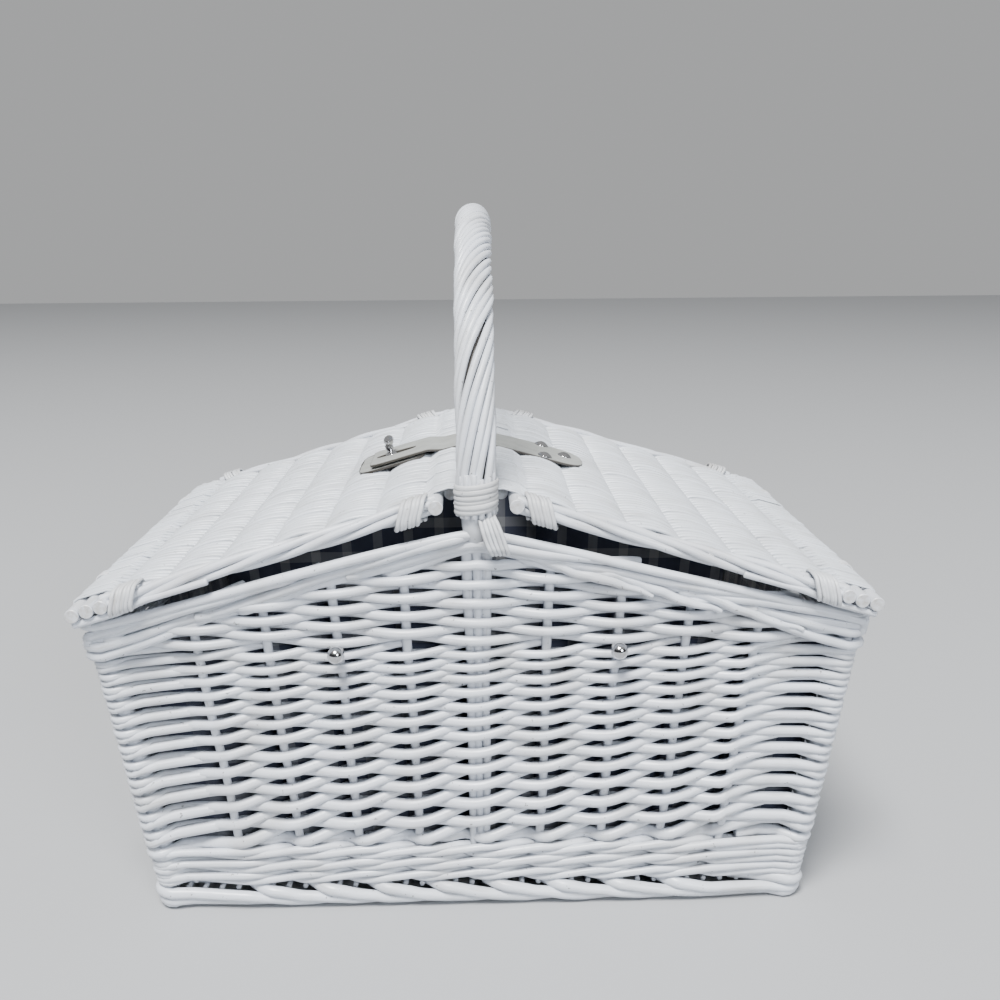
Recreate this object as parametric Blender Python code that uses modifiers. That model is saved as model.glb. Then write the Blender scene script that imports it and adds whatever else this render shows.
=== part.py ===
"""A gable-ended wicker picnic basket with twin lids, a fixed hoop handle and a turn-lock strap.

Origin at the footprint's centre on the ground, +X along the length, -Y towards the front, +Z up.
"""
import math

import bmesh
import bpy
from mathutils import Matrix, Vector

GAP = 0.0003  # between pieces that touch

# body: an oblong that widens upwards, with a gable front and back
BASE_LENGTH = 0.360
BASE_DEPTH = 0.216
TOP_LENGTH = 0.4036
TOP_DEPTH = 0.2626
EAVE_HEIGHT = 0.1765
PEAK_HEIGHT = 0.228
WALL_THICKNESS = 0.009
CORNER_POST_RADIUS = 0.0055
CORNER_ROUNDING = 0.012

# foot border, base and waling, stacked from the ground up
FOOT_HEIGHT = 0.0105
FOOT_WIDTH = 0.012
BASE_THICKNESS = 0.0050
BASE_INSET = 0.0040
WALE_HEIGHT = 0.0216
WALE_THICKNESS = 0.010

# border rods along the top of the walls
RIM_THICKNESS = 0.014
RIM_CORNER_HEIGHT = 0.0165
RIM_PEAK_HEIGHT = 0.0145
SIDE_RIM_HEIGHT = 0.0190
SIDE_RIM_LIFT = 0.0010

# fabric lining
LINING_CLEARANCE = 0.0025
LINING_THICKNESS = 0.0008
LINING_CORNER_DROP = 0.004

# hoop handle
HANDLE_RADIUS = 0.01025
HANDLE_CORE_RADIUS = 0.005
HANDLE_LEG_RADIUS = 0.003
HANDLE_FOOT_HEIGHT = 0.050
HANDLE_STRAIGHT_LEG = 0.0136
COLLAR_RADIUS = 0.0108
COLLAR_LIFT = 0.0055
COLLAR_HEIGHT = 0.0175
TIE_WIDTH = 0.0095
TIE_HEIGHT = 0.0135
TIE_THICKNESS = 0.0016
TIE_LEAN = 0.006

# lids, given along the slope from the hinge rod to the ridge
EAVE_ROD_INSET = 0.0014
HINGE_LIFT = 0.0095
RIDGE_LIFT = 0.013
RIDGE_ROD_OFFSET = 0.0125
EAVE_ROD_RADIUS = 0.0036
EAVE_ROD_COUNT = 3
ROD_SPACING_GAP = 0.0003
RIDGE_ROD_RADIUS = 0.0037
RIDGE_ROD_SETBACK = 0.023
LID_OVERHANG = 0.0087
LID_THICKNESS = 0.009
BORDER_WIDTH = 0.012
BORDER_THICKNESS = 0.012
BORDER_TO_PANEL = 0.0026
LASHING_THICKNESS = 0.0014
LASHING_WIDTH = 0.011
LASHING_FROM_PANEL_END = 0.003

# cane hinge loops
HINGE_LOOP_SPACING = 0.170
HINGE_LOOP_WIDTH = 0.008
HINGE_LOOP_THICKNESS = 0.0015
HINGE_ROD_CLEARANCE = 0.0007
HINGE_LOOP_DROP = 0.0115
HINGE_SCALLOP_CLEARANCE = 0.0014

# leather closure strap
STRAP_HALF_WIDTH = 0.022
STRAP_THICKNESS = 0.0018
STRAP_RIVET_END = 0.065
STRAP_FLEX_LINE = 0.030
STRAP_SLOT_END = 0.069
STRAP_LIFT = 0.0004
STRAP_CROWN = 0.0012
STRAP_BEND_REACH = 0.008
SLOT_LENGTH = 0.024
SLOT_WIDTH = 0.009
LOCK_OFFSET = 0.048
PATCH_LENGTH = 0.042
PATCH_WIDTH = 0.052
PATCH_THICKNESS = 0.0015
LOCK_BASE_LENGTH = 0.020
LOCK_BASE_WIDTH = 0.0064
LOCK_BASE_HEIGHT = 0.0060
LOCK_STEM_RADIUS = 0.0016
LOCK_STEM_DEPTH = 0.0020
LOCK_BAR_LENGTH = 0.0150
LOCK_BAR_RADIUS = 0.0032
RIVET_HEAD_RADIUS = 0.0044
RIVET_HEAD_HEIGHT = 0.0026
RIVET_SHANK_RADIUS = 0.0014
RIVET_WASHER_THICKNESS = 0.0010
RIVET_PLACES = ((0.041, -0.017), (0.041, 0.017), (0.054, 0.0))

# ball studs on the front wall
STUD_OFFSET = 0.072
STUD_BELOW_RIM = 0.033
STUD_BALL_RADIUS = 0.0044
STUD_NECK_RADIUS = 0.0019
STUD_FLANGE_RADIUS = 0.0032
STUD_FLANGE_THICKNESS = 0.0008
STUD_SHANK_RADIUS = 0.0015
STUD_WASHER_RADIUS = 0.0050
STUD_WASHER_THICKNESS = 0.0012

FINISHES = {
    "painted_willow": ((0.68, 0.71, 0.75), 0.55, 0.0),
    "cane": ((0.66, 0.69, 0.72), 0.60, 0.0),
    "leatherette": ((0.40, 0.41, 0.40), 0.50, 0.0),
    "nickel": ((0.62, 0.63, 0.65), 0.18, 1.0),
    "lining": ((0.02, 0.025, 0.045), 0.90, 0.0),
}

# sizes that follow from the ones above
wallTop = EAVE_HEIGHT - RIM_CORNER_HEIGHT
peakBottom = PEAK_HEIGHT - RIM_PEAK_HEIGHT
waleBottom = FOOT_HEIGHT + GAP + BASE_THICKNESS + GAP
waleTop = waleBottom + WALE_HEIGHT
lengthLean = math.atan((TOP_LENGTH - BASE_LENGTH) / 2 / EAVE_HEIGHT)
depthLean = math.atan((TOP_DEPTH - BASE_DEPTH) / 2 / EAVE_HEIGHT)
hingeX = TOP_LENGTH / 2 - EAVE_ROD_INSET
hingeZ = EAVE_HEIGHT + HINGE_LIFT
ridgeZ = PEAK_HEIGHT + RIDGE_LIFT
lidSlope = math.atan((ridgeZ - hingeZ) / (hingeX - RIDGE_ROD_OFFSET))
lidLength = (hingeX - RIDGE_ROD_OFFSET) / math.cos(lidSlope)
lidHalfDepth = TOP_DEPTH / 2 + LID_OVERHANG
eaveRodPitch = 2 * EAVE_ROD_RADIUS + ROD_SPACING_GAP
ridgeRodPitch = 2 * RIDGE_ROD_RADIUS + ROD_SPACING_GAP
panelStart = (EAVE_ROD_COUNT - 1) * eaveRodPitch + EAVE_ROD_RADIUS + GAP
panelEnd = lidLength - ridgeRodPitch - RIDGE_ROD_RADIUS - GAP
panelHalfDepth = lidHalfDepth - BORDER_WIDTH - BORDER_TO_PANEL
strapUnderside = LID_THICKNESS / 2 + STRAP_LIFT
patchTop = strapUnderside + PATCH_THICKNESS
lockStrapUnderside = patchTop + 2 * GAP
lockBaseTop = patchTop + GAP + LOCK_BASE_HEIGHT
wallMidAtPeak = BASE_DEPTH / 2 + PEAK_HEIGHT * math.tan(depthLean) - WALL_THICKNESS / 2
springHeight = PEAK_HEIGHT + HANDLE_STRAIGHT_LEG
collarBottom = PEAK_HEIGHT + COLLAR_LIFT
collarTop = collarBottom + COLLAR_HEIGHT


def halfLength(z):
    """Outer half length of the body at a height."""
    return BASE_LENGTH / 2 + z * math.tan(lengthLean)


def halfDepth(z):
    """Outer half depth of the body at a height."""
    return BASE_DEPTH / 2 + z * math.tan(depthLean)


def newCollection(name, hidden=False):
    collection = bpy.data.collections.new(name)
    collection.hide_render = hidden
    bpy.context.scene.collection.children.link(collection)
    return collection


def newEmpty(name, location, rotation=(0, 0, 0), parent=None):
    empty = bpy.data.objects.new(name, None)
    empty.empty_display_size = 0.02
    empty.location = location
    empty.rotation_euler = rotation
    empty.parent = parent
    parts.objects.link(empty)
    return empty


def place(name, data, finish, parent, location=(0, 0, 0), rotation=(0, 0, 0)):
    """Puts a mesh or curve into the object, or among the cutters where finish is None."""
    obj = bpy.data.objects.new(name, data)
    obj.location = location
    obj.rotation_euler = rotation
    obj.parent = parent
    if finish is None:
        obj.hide_render = True
        obj.display_type = "WIRE"
        cutters.objects.link(obj)
        return obj
    parts.objects.link(obj)
    colour, roughness, metallic = FINISHES[finish]
    material = bpy.data.materials.new(name)
    material.use_nodes = True
    shader = material.node_tree.nodes["Principled BSDF"]
    shader.inputs["Base Color"].default_value = (*colour, 1.0)
    shader.inputs["Roughness"].default_value = roughness
    shader.inputs["Metallic"].default_value = metallic
    data.materials.append(material)
    return obj


def toMesh(obj):
    """The same object as a closed mesh, for the pieces that are cut or joined."""
    bpy.context.view_layer.update()
    graph = bpy.context.evaluated_depsgraph_get()
    mesh = bpy.data.meshes.new_from_object(obj.evaluated_get(graph))
    form = bmesh.new()
    form.from_mesh(mesh)
    bmesh.ops.remove_doubles(form, verts=form.verts, dist=1e-6)
    form.to_mesh(mesh)
    form.free()
    name = obj.name
    solid = bpy.data.objects.new(name, mesh)
    solid.parent = obj.parent
    solid.location = obj.location
    solid.rotation_euler = obj.rotation_euler
    solid.hide_render = obj.hide_render
    solid.display_type = obj.display_type
    obj.users_collection[0].objects.link(solid)
    bpy.data.objects.remove(obj, do_unlink=True)
    solid.name = name
    return solid


def flatShape(name, outlines, thickness, finish, parent, location=(0, 0, 0), rotation=(0, 0, 0)):
    """A flat outline, with any further outlines as holes, extruded along its own Z and centred on it."""
    curve = bpy.data.curves.new(name, "CURVE")
    curve.dimensions = "2D"
    curve.fill_mode = "BOTH"
    curve.extrude = thickness / 2
    for outline in outlines:
        spline = curve.splines.new("POLY")
        spline.points.add(len(outline) - 1)
        for point, (x, y) in zip(spline.points, outline):
            point.co = (x, y, 0, 1)
        spline.use_cyclic_u = True
    return toMesh(place(name, curve, finish, parent, location, rotation))


def tube(name, path, radii, finish, parent, sides=2, capped=True):
    """A round rod along a path of points, with a radius at each."""
    curve = bpy.data.curves.new(name, "CURVE")
    curve.dimensions = "3D"
    curve.bevel_depth = 1.0
    curve.bevel_resolution = sides
    curve.use_fill_caps = capped
    spline = curve.splines.new("POLY")
    spline.points.add(len(path) - 1)
    for point, centre, radius in zip(spline.points, path, radii):
        point.co = (*centre, 1)
        point.radius = radius
    solid = toMesh(place(name, curve, finish, parent))
    solid.data.shade_smooth()
    solid.data.set_sharp_from_angle(angle=math.radians(50))
    return solid


def block(name, size, finish, parent, location=(0, 0, 0), rotation=(0, 0, 0)):
    mesh = bpy.data.meshes.new(name)
    form = bmesh.new()
    bmesh.ops.create_cube(form, size=1.0)
    bmesh.ops.scale(form, vec=size, verts=form.verts)
    form.to_mesh(mesh)
    form.free()
    return place(name, mesh, finish, parent, location, rotation)


def cylinder(name, radius, length, sides, finish, parent, location=(0, 0, 0), rotation=(0, 0, 0)):
    mesh = bpy.data.meshes.new(name)
    form = bmesh.new()
    bmesh.ops.create_cone(
        form, cap_ends=True, segments=sides, radius1=radius, radius2=radius, depth=length
    )
    form.to_mesh(mesh)
    form.free()
    return place(name, mesh, finish, parent, location, rotation)


def turned(name, profile, steps, finish, parent, location=(0, 0, 0), rotation=(0, 0, 0)):
    """A profile of (radius, height) points, from the top down, turned about the object's Z."""
    mesh = bpy.data.meshes.new(name)
    points = [(radius, 0, height) for radius, height in profile]
    edges = [(i, i + 1) for i in range(len(points) - 1)]
    mesh.from_pydata(points, edges, [])
    obj = place(name, mesh, finish, parent, location, rotation)
    screw = obj.modifiers.new("turn", "SCREW")
    screw.steps = steps
    screw.render_steps = steps
    screw.use_merge_vertices = True
    screw.merge_threshold = 0.00001
    screw.use_smooth_shade = True
    return obj


def cut(obj, cutter):
    boolean = obj.modifiers.new("cut " + cutter.name, "BOOLEAN")
    boolean.operation = "DIFFERENCE"
    boolean.object = cutter


def join(obj, other):
    boolean = obj.modifiers.new("join " + other.name, "BOOLEAN")
    boolean.operation = "UNION"
    boolean.object = other


def roundedRectangle(halfX, halfY, radius, steps=4):
    """Corner points of a rectangle with round corners, anticlockwise."""
    points = []
    for corner, (signX, signY) in enumerate(((1, 1), (-1, 1), (-1, -1), (1, -1))):
        for step in range(steps + 1):
            angle = math.radians(90) * (corner + step / steps)
            points.append(
                (
                    signX * (halfX - radius) + radius * math.cos(angle),
                    signY * (halfY - radius) + radius * math.sin(angle),
                )
            )
    return points


def stadium(halfStraight, radius, steps=6):
    """A slot outline: two half circles of this radius, centred halfStraight either way along Y."""
    points = []
    for end in (0, 1):
        for step in range(steps + 1):
            angle = math.pi * (end + step / steps)
            y = radius * math.sin(angle) + (1 - 2 * end) * halfStraight
            points.append((radius * math.cos(angle), y))
    return points


def loftedRing(name, loops, finish, parent):
    """A closed ring through loops of points, each anticlockwise, that follow its section round once."""
    mesh = bpy.data.meshes.new(name)
    form = bmesh.new()
    rings = [[form.verts.new(point) for point in loop] for loop in loops]
    for low, high in zip(rings, rings[1:] + rings[:1]):
        for i in range(len(low)):
            j = (i + 1) % len(low)
            form.faces.new((low[i], low[j], high[j], high[i]))
    form.to_mesh(mesh)
    form.free()
    return place(name, mesh, finish, parent)


# the wall planes: local X runs along the wall, local Y up its slope and local Z outwards
def wallFrame(side):
    """Location and rotation of a wall's middle plane, for side front, back, left or right."""
    turn = {"front": 0, "right": 90, "back": 180, "left": -90}[side]
    endWall = side in ("left", "right")
    lean = lengthLean if endWall else depthLean
    reach = (BASE_LENGTH if endWall else BASE_DEPTH) / 2 - WALL_THICKNESS / 2 / math.cos(lean)
    angle = math.radians(turn)
    location = (reach * math.sin(angle), -reach * math.cos(angle), 0)
    return location, (math.radians(90) + lean, 0, angle), lean


def onWall(points, lean):
    """Turns (along, height) points into the wall plane's own points."""
    return [(along, height / math.cos(lean)) for along, height in points]


def edgeDrop(thickness, lean):
    """How far a leaning slab's square-cut edge reaches below its middle plane's edge."""
    return thickness / 2 * abs(math.sin(lean)) + GAP


def wallEnd(z, endWall):
    """Half width of a wall between the corner posts at a height."""
    full = halfDepth(z) if endWall else halfLength(z)
    return full - 2 * CORNER_POST_RADIUS - 2 * GAP


def makeBase():
    foot = roundedRectangle(BASE_LENGTH / 2, BASE_DEPTH / 2, CORNER_ROUNDING)
    footInside = roundedRectangle(
        BASE_LENGTH / 2 - FOOT_WIDTH, BASE_DEPTH / 2 - FOOT_WIDTH, CORNER_ROUNDING / 3
    )
    middle = (0, 0, FOOT_HEIGHT / 2)
    flatShape("foot_border", [foot, footInside], FOOT_HEIGHT, "painted_willow", basket, middle)
    baseZ = FOOT_HEIGHT + GAP + BASE_THICKNESS / 2
    panel = roundedRectangle(
        halfLength(baseZ) - BASE_INSET, halfDepth(baseZ) - BASE_INSET, CORNER_ROUNDING - BASE_INSET
    )
    flatShape("base_panel", [panel], BASE_THICKNESS, "painted_willow", basket, (0, 0, baseZ))
    loops = []
    section = ((waleBottom, 0), (waleTop, 0), (waleTop, WALE_THICKNESS), (waleBottom, WALE_THICKNESS))
    for z, inset in section:
        rounding = CORNER_ROUNDING - inset * 2 / 3
        ring = roundedRectangle(halfLength(z) - inset, halfDepth(z) - inset, rounding)
        loops.append([(x, y, z) for x, y in ring])
    loftedRing("wale_band", loops, "painted_willow", basket)


def makeWalls():
    low = waleTop + GAP
    for side in ("front", "back", "left", "right"):
        location, rotation, lean = wallFrame(side)
        endWall = side in ("left", "right")
        rimBottom = EAVE_HEIGHT + SIDE_RIM_LIFT - SIDE_RIM_HEIGHT if endWall else wallTop
        high = rimBottom - GAP
        outline = [
            (-wallEnd(low, endWall), low + edgeDrop(WALL_THICKNESS, lean)),
            (wallEnd(low, endWall), low + edgeDrop(WALL_THICKNESS, lean)),
            (wallEnd(high, endWall), high),
            (-wallEnd(high, endWall), high),
        ]
        if not endWall:
            outline.insert(3, (0, peakBottom - GAP))
        flat = [onWall(outline, lean)]
        flatShape("siding_" + side, flat, WALL_THICKNESS, "painted_willow", basket, location, rotation)


def makePosts():
    """The fat corner stakes that the weavers turn round, leaning out with both walls."""
    endGap = 2 * GAP + CORNER_POST_RADIUS * (math.tan(lengthLean) + math.tan(depthLean))
    low, high = waleTop + endGap, wallTop - endGap - edgeDrop(RIM_THICKNESS, depthLean)
    for name, signX, signY in (
        ("front_left", -1, -1),
        ("front_right", 1, -1),
        ("back_left", -1, 1),
        ("back_right", 1, 1),
    ):
        path = []
        for z in (low, high):
            x = halfLength(z) - CORNER_POST_RADIUS
            y = halfDepth(z) - CORNER_POST_RADIUS
            path.append((signX * x, signY * y, z))
        tube("corner_post_" + name, path, [CORNER_POST_RADIUS] * 2, "painted_willow", basket, sides=3)


def makeRims():
    """Border rods: a gable front and back, and a level beam along each eave."""
    for side in ("front", "back"):
        location, rotation, lean = wallFrame(side)
        low, high = wallTop, EAVE_HEIGHT
        outline = [
            (-halfLength(low), low),
            (0, peakBottom),
            (halfLength(low), low),
            (halfLength(high), high),
            (0, PEAK_HEIGHT),
            (-halfLength(high), high),
        ]
        flat = [onWall(outline, lean)]
        flatShape("rim_" + side, flat, RIM_THICKNESS, "painted_willow", basket, location, rotation)
    for side in ("left", "right"):
        location, rotation, lean = wallFrame(side)
        high = EAVE_HEIGHT + SIDE_RIM_LIFT
        low = high - SIDE_RIM_HEIGHT
        inside = (WALL_THICKNESS + RIM_THICKNESS) / 2 / math.cos(depthLean) + 2 * GAP
        outline = []
        for z, sign in ((low, -1), (low, 1), (high, 1), (high, -1)):
            outline.append((sign * (halfDepth(z) - inside), z))
        flat = [onWall(outline, lean)]
        rim = flatShape("rim_" + side, flat, RIM_THICKNESS, "painted_willow", basket, location, rotation)
        for loop in hingeLoops[side]:
            cut(rim, loop)


def makeLining():
    """An open fabric box that hangs inside the walls, with its gables up to the rim's lower edge."""
    inset = WALL_THICKNESS / math.cos(depthLean) + LINING_CLEARANCE
    floor = waleBottom + LINING_CLEARANCE / 2
    top = wallTop - LINING_CORNER_DROP
    lowX = halfLength(floor) - WALE_THICKNESS - LINING_CLEARANCE
    lowY = halfDepth(floor) - WALE_THICKNESS - LINING_CLEARANCE
    highX = halfLength(top) - inset
    highY = halfDepth(top) - inset
    peakY = halfDepth(peakBottom) - inset
    mesh = bpy.data.meshes.new("lining")
    form = bmesh.new()
    bmesh.ops.create_cube(form, size=2.0)
    lid = [face for face in form.faces if face.normal.z > 0.5]
    bmesh.ops.delete(form, geom=lid, context="FACES_ONLY")
    everything = form.verts[:] + form.edges[:] + form.faces[:]
    bmesh.ops.bisect_plane(form, geom=everything, plane_co=(0, 0, 0), plane_no=(1, 0, 0))
    for vert in form.verts:
        x, y, z = vert.co
        if z < 0:
            vert.co = (x * lowX, y * lowY, floor)
        elif abs(x) > 0.5:
            vert.co = (x * highX, y * highY, top)
        else:
            vert.co = (0, y * peakY, peakBottom - LINING_CORNER_DROP)
    form.to_mesh(mesh)
    form.free()
    obj = place("lining", mesh, "lining", basket)
    solidify = obj.modifiers.new("cloth", "SOLIDIFY")
    solidify.thickness = LINING_THICKNESS
    solidify.offset = -1
    return obj


def hoopPath(lowest, steps=15):
    """Half of the handle's middle line, from the top down to a height, as (y, z) with y positive."""
    sweep = math.acos(max(0.0, (lowest - springHeight) / wallMidAtPeak))
    points = []
    for step in range(steps + 1):
        angle = sweep * step / steps
        points.append((wallMidAtPeak * math.sin(angle), springHeight + wallMidAtPeak * math.cos(angle)))
    return points


def makeHandle():
    hoop = hoopPath(springHeight)
    legMid = BASE_DEPTH / 2 - WALL_THICKNESS / 2 / math.cos(depthLean)
    leg = [(wallMidAtPeak, collarBottom - GAP)]
    for z in (PEAK_HEIGHT - RIM_PEAK_HEIGHT / 2, HANDLE_FOOT_HEIGHT):
        leg.append((legMid + z * math.tan(depthLean), z))
    legRadii = [HANDLE_CORE_RADIUS, HANDLE_LEG_RADIUS, HANDLE_LEG_RADIUS]
    half = hoop + leg
    halfRadii = [HANDLE_CORE_RADIUS] * len(hoop) + legRadii
    path = [(0, -y, z) for y, z in reversed(half)] + [(0, y, z) for y, z in half[1:]]
    radii = halfRadii[::-1] + halfRadii[1:]
    tube("handle_core", path, radii, "painted_willow", basket)

    # the same legs, thicker and a little longer, cut their way through the walls and rims
    for side, sign in (("front", -1), ("back", 1)):
        legPath = [(0, sign * y, z) for y, z in [hoop[-1]] + leg]
        foot = Vector(legPath[-1])
        legPath[-1] = foot + (foot - Vector(legPath[-2])).normalized() * 2 * GAP
        cutterRadii = [radius + GAP for radius in [HANDLE_CORE_RADIUS] + legRadii]
        legCutter = tube("handle_leg_cutter_" + side, legPath, cutterRadii, None, basket)
        cut(bpy.data.objects["siding_" + side], legCutter)
        cut(bpy.data.objects["rim_" + side], legCutter)

    # the roped wrap starts above the collars
    rise = max(0.0, collarTop - springHeight) / wallMidAtPeak
    bare = hoopPath(collarTop + 2 * GAP + HANDLE_RADIUS * rise)
    wrapPath = [(0, -y, z) for y, z in reversed(bare)] + [(0, y, z) for y, z in bare[1:]]
    wrapRadii = [HANDLE_RADIUS] * len(wrapPath)
    wrap = tube("handle_wrap", wrapPath, wrapRadii, "painted_willow", basket, sides=3, capped=False)
    solidify = wrap.modifiers.new("wrap", "SOLIDIFY")
    solidify.thickness = HANDLE_RADIUS - HANDLE_CORE_RADIUS - 3 * GAP
    solidify.offset = -1

    for side, sign in (("front", -1), ("back", 1)):
        flatShape(
            "handle_collar_" + side,
            [stadium(0, COLLAR_RADIUS, 8), stadium(0, HANDLE_CORE_RADIUS + 2 * GAP, 8)],
            COLLAR_HEIGHT,
            "cane",
            basket,
            (0, sign * wallMidAtPeak, (collarBottom + collarTop) / 2),
        )
        location, rotation, lean = wallFrame(side)
        top = PEAK_HEIGHT + COLLAR_LIFT - 3 * GAP
        outline = [
            (TIE_LEAN, top - TIE_HEIGHT),
            (TIE_LEAN + TIE_WIDTH, top - TIE_HEIGHT),
            (TIE_WIDTH, top),
            (0, top),
        ]
        outward = RIM_THICKNESS / 2 + GAP + TIE_THICKNESS / 2
        turn = rotation[2]
        shifted = (
            location[0] + outward * math.cos(lean) * math.sin(turn),
            location[1] - outward * math.cos(lean) * math.cos(turn),
            location[2] - outward * math.sin(lean),
        )
        flat = [onWall(outline, lean)]
        flatShape("handle_tie_" + side, flat, TIE_THICKNESS, "cane", basket, shifted, rotation)


def loopOutline(extra):
    """The stadium of a hinge loop's inside, grown by extra."""
    radius = EAVE_ROD_RADIUS + HINGE_ROD_CLEARANCE + extra
    return [(x, y - HINGE_LOOP_DROP / 2) for x, y in stadium(HINGE_LOOP_DROP / 2, radius)]


def makeHingeLoops():
    """Cane loops round each lid's outer rod and through the eave rim, with the cutters that clear them."""
    loops = {}
    for side, sign in (("left", -1), ("right", 1)):
        loops[side] = []
        for end, y in (("front", -HINGE_LOOP_SPACING / 2), ("back", HINGE_LOOP_SPACING / 2)):
            where = ((sign * hingeX, y, hingeZ), (math.radians(90), 0, 0))
            flatShape(
                "hinge_loop_" + side + "_" + end,
                [loopOutline(HINGE_LOOP_THICKNESS), loopOutline(0)],
                HINGE_LOOP_WIDTH,
                "cane",
                basket,
                *where,
            )
            loops[side].append(
                flatShape(
                    "hinge_channel_" + side + "_" + end,
                    [loopOutline(HINGE_LOOP_THICKNESS + GAP), loopOutline(-GAP)],
                    HINGE_LOOP_WIDTH + 2 * GAP,
                    None,
                    basket,
                    *where,
                )
            )
    return loops


def makeStuds():
    """Ball studs: a ball on a neck, a flange on the wall, a shank through it and a washer behind."""
    location, rotation, lean = wallFrame("front")
    face = WALL_THICKNESS / 2 + GAP
    flangeTop = face + STUD_FLANGE_THICKNESS
    ballCentre = flangeTop + STUD_BALL_RADIUS
    start = math.asin(STUD_NECK_RADIUS / STUD_BALL_RADIUS)
    profile = []
    arcSteps = 7
    for step in range(arcSteps + 1):
        angle = (math.pi - start) * step / arcSteps
        height = ballCentre + STUD_BALL_RADIUS * math.cos(angle)
        profile.append((STUD_BALL_RADIUS * math.sin(angle), height))
    profile[0] = (0, profile[0][1])
    profile += [
        (STUD_NECK_RADIUS, flangeTop),
        (STUD_FLANGE_RADIUS, flangeTop),
        (STUD_FLANGE_RADIUS, face),
        (STUD_SHANK_RADIUS, face),
        (STUD_SHANK_RADIUS, -face),
        (STUD_WASHER_RADIUS, -face),
        (STUD_WASHER_RADIUS, -face - STUD_WASHER_THICKNESS),
        (0, -face - STUD_WASHER_THICKNESS),
    ]
    rimHere = wallTop + (peakBottom - wallTop) * (1 - STUD_OFFSET / halfLength(wallTop))
    height = rimHere - STUD_BELOW_RIM
    for name, x in (("left", -STUD_OFFSET), ("right", STUD_OFFSET)):
        centre = (x, location[1] - height * math.tan(lean), height)
        turned("ball_stud_" + name, profile, 12, "nickel", basket, centre, rotation)
        holeRadius = STUD_SHANK_RADIUS + GAP
        hole = cylinder(
            "stud_hole_" + name, holeRadius, 2 * WALL_THICKNESS, 12, None, basket, centre, rotation
        )
        cut(bpy.data.objects["siding_front"], hole)


def lidRod(name, parent, along, reach, radius):
    path = [(along, -reach, 0), (along, reach, 0)]
    return tube(name, path, [radius] * 2, "painted_willow", parent, sides=3)


def makeLid(side, lid):
    """One lid in its own frame: X along the slope from the hinge rod to the ridge, Z out of the basket."""
    for count in range(EAVE_ROD_COUNT):
        rod = lidRod(
            "%s_lid_eave_rod_%d" % (side, count + 1),
            lid,
            count * eaveRodPitch,
            lidHalfDepth,
            EAVE_ROD_RADIUS,
        )
        if count == 1:
            reach = EAVE_ROD_RADIUS + HINGE_ROD_CLEARANCE + HINGE_LOOP_THICKNESS + HINGE_SCALLOP_CLEARANCE
            for end, y in (("front", -HINGE_LOOP_SPACING / 2), ("back", HINGE_LOOP_SPACING / 2)):
                scallop = cylinder(
                    "%s_scallop_%s" % (side, end),
                    reach,
                    HINGE_LOOP_WIDTH + 4 * GAP,
                    16,
                    None,
                    lid,
                    (0, y, 0),
                    (math.radians(90), 0, 0),
                )
                cut(rod, scallop)
    lidRod(side + "_lid_ridge_rod", lid, lidLength - ridgeRodPitch, lidHalfDepth, RIDGE_ROD_RADIUS)
    lidRod(side + "_lid_edge_rod", lid, lidLength, lidHalfDepth - RIDGE_ROD_SETBACK, RIDGE_ROD_RADIUS)
    middle = (panelStart + panelEnd) / 2
    length = panelEnd - panelStart
    block(
        side + "_lid_panel",
        (length, 2 * panelHalfDepth, LID_THICKNESS),
        "painted_willow",
        lid,
        (middle, 0, 0),
    )
    borderMiddle = lidHalfDepth - BORDER_WIDTH / 2
    inner = (BORDER_WIDTH / 2 + GAP, BORDER_THICKNESS / 2 + GAP)
    outer = (inner[0] + LASHING_THICKNESS, inner[1] + LASHING_THICKNESS)
    facing = {"left": -1, "right": 1}[side]  # the right lid's frame is turned half round
    for end, sign in (("front", facing), ("back", -facing)):
        block(
            "%s_lid_border_%s" % (side, end),
            (length, BORDER_WIDTH, BORDER_THICKNESS),
            "painted_willow",
            lid,
            (middle, sign * borderMiddle, 0),
        )
        fromEnd = LASHING_FROM_PANEL_END + LASHING_WIDTH / 2
        for name, along in (("eave", panelStart + fromEnd), ("ridge", panelEnd - fromEnd)):
            flatShape(
                "%s_lid_lashing_%s_%s" % (side, end, name),
                [
                    roundedRectangle(outer[0], outer[1], 2 * LASHING_THICKNESS, 2),
                    roundedRectangle(inner[0], inner[1], GAP, 1),
                ],
                LASHING_WIDTH,
                "cane",
                lid,
                (along, sign * borderMiddle, 0),
                (math.radians(90), 0, math.radians(90)),
            )


def alongLid(x):
    """Distance along the slope from the hinge rod to the place straight above or below world |x|."""
    return (hingeX - abs(x)) / math.cos(lidSlope)


def overLid(x, clear):
    """World (x, z) of the point that stands clear of a lid's middle plane by this much."""
    height = hingeZ + (hingeX - abs(x)) * math.tan(lidSlope) + clear / math.cos(lidSlope)
    return x, height


def strapStrip(name, stations, parent, origin):
    """A leather strip through (x, z, half width) stations, thickened upwards, under a parent."""
    mesh = bpy.data.meshes.new(name)
    form = bmesh.new()
    pairs = []
    for x, z, half in stations:
        near = form.verts.new((x - origin[0], -half, z - origin[2]))
        far = form.verts.new((x - origin[0], half, z - origin[2]))
        pairs.append((near, far))
    for (a, b), (c, d) in zip(pairs, pairs[1:]):
        form.faces.new((a, c, d, b))
    form.to_mesh(mesh)
    form.free()
    obj = place(name, mesh, "leatherette", parent)
    solidify = obj.modifiers.new("leather", "SOLIDIFY")
    solidify.thickness = STRAP_THICKNESS
    solidify.offset = 1
    return obj


def tipStations(xTip, inward, clear, steps=4):
    """Stations over a rounded tip whose corners are arcs of three fifths of the half width."""
    radius = STRAP_HALF_WIDTH * 0.6
    found = []
    for step in range(steps + 1):
        angle = math.radians(90) * step / steps
        x = xTip + inward * radius * (1 - math.sin(angle))
        half = STRAP_HALF_WIDTH - radius * (1 - math.cos(angle))
        found.append((*overLid(x, clear), half))
    return found


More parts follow.
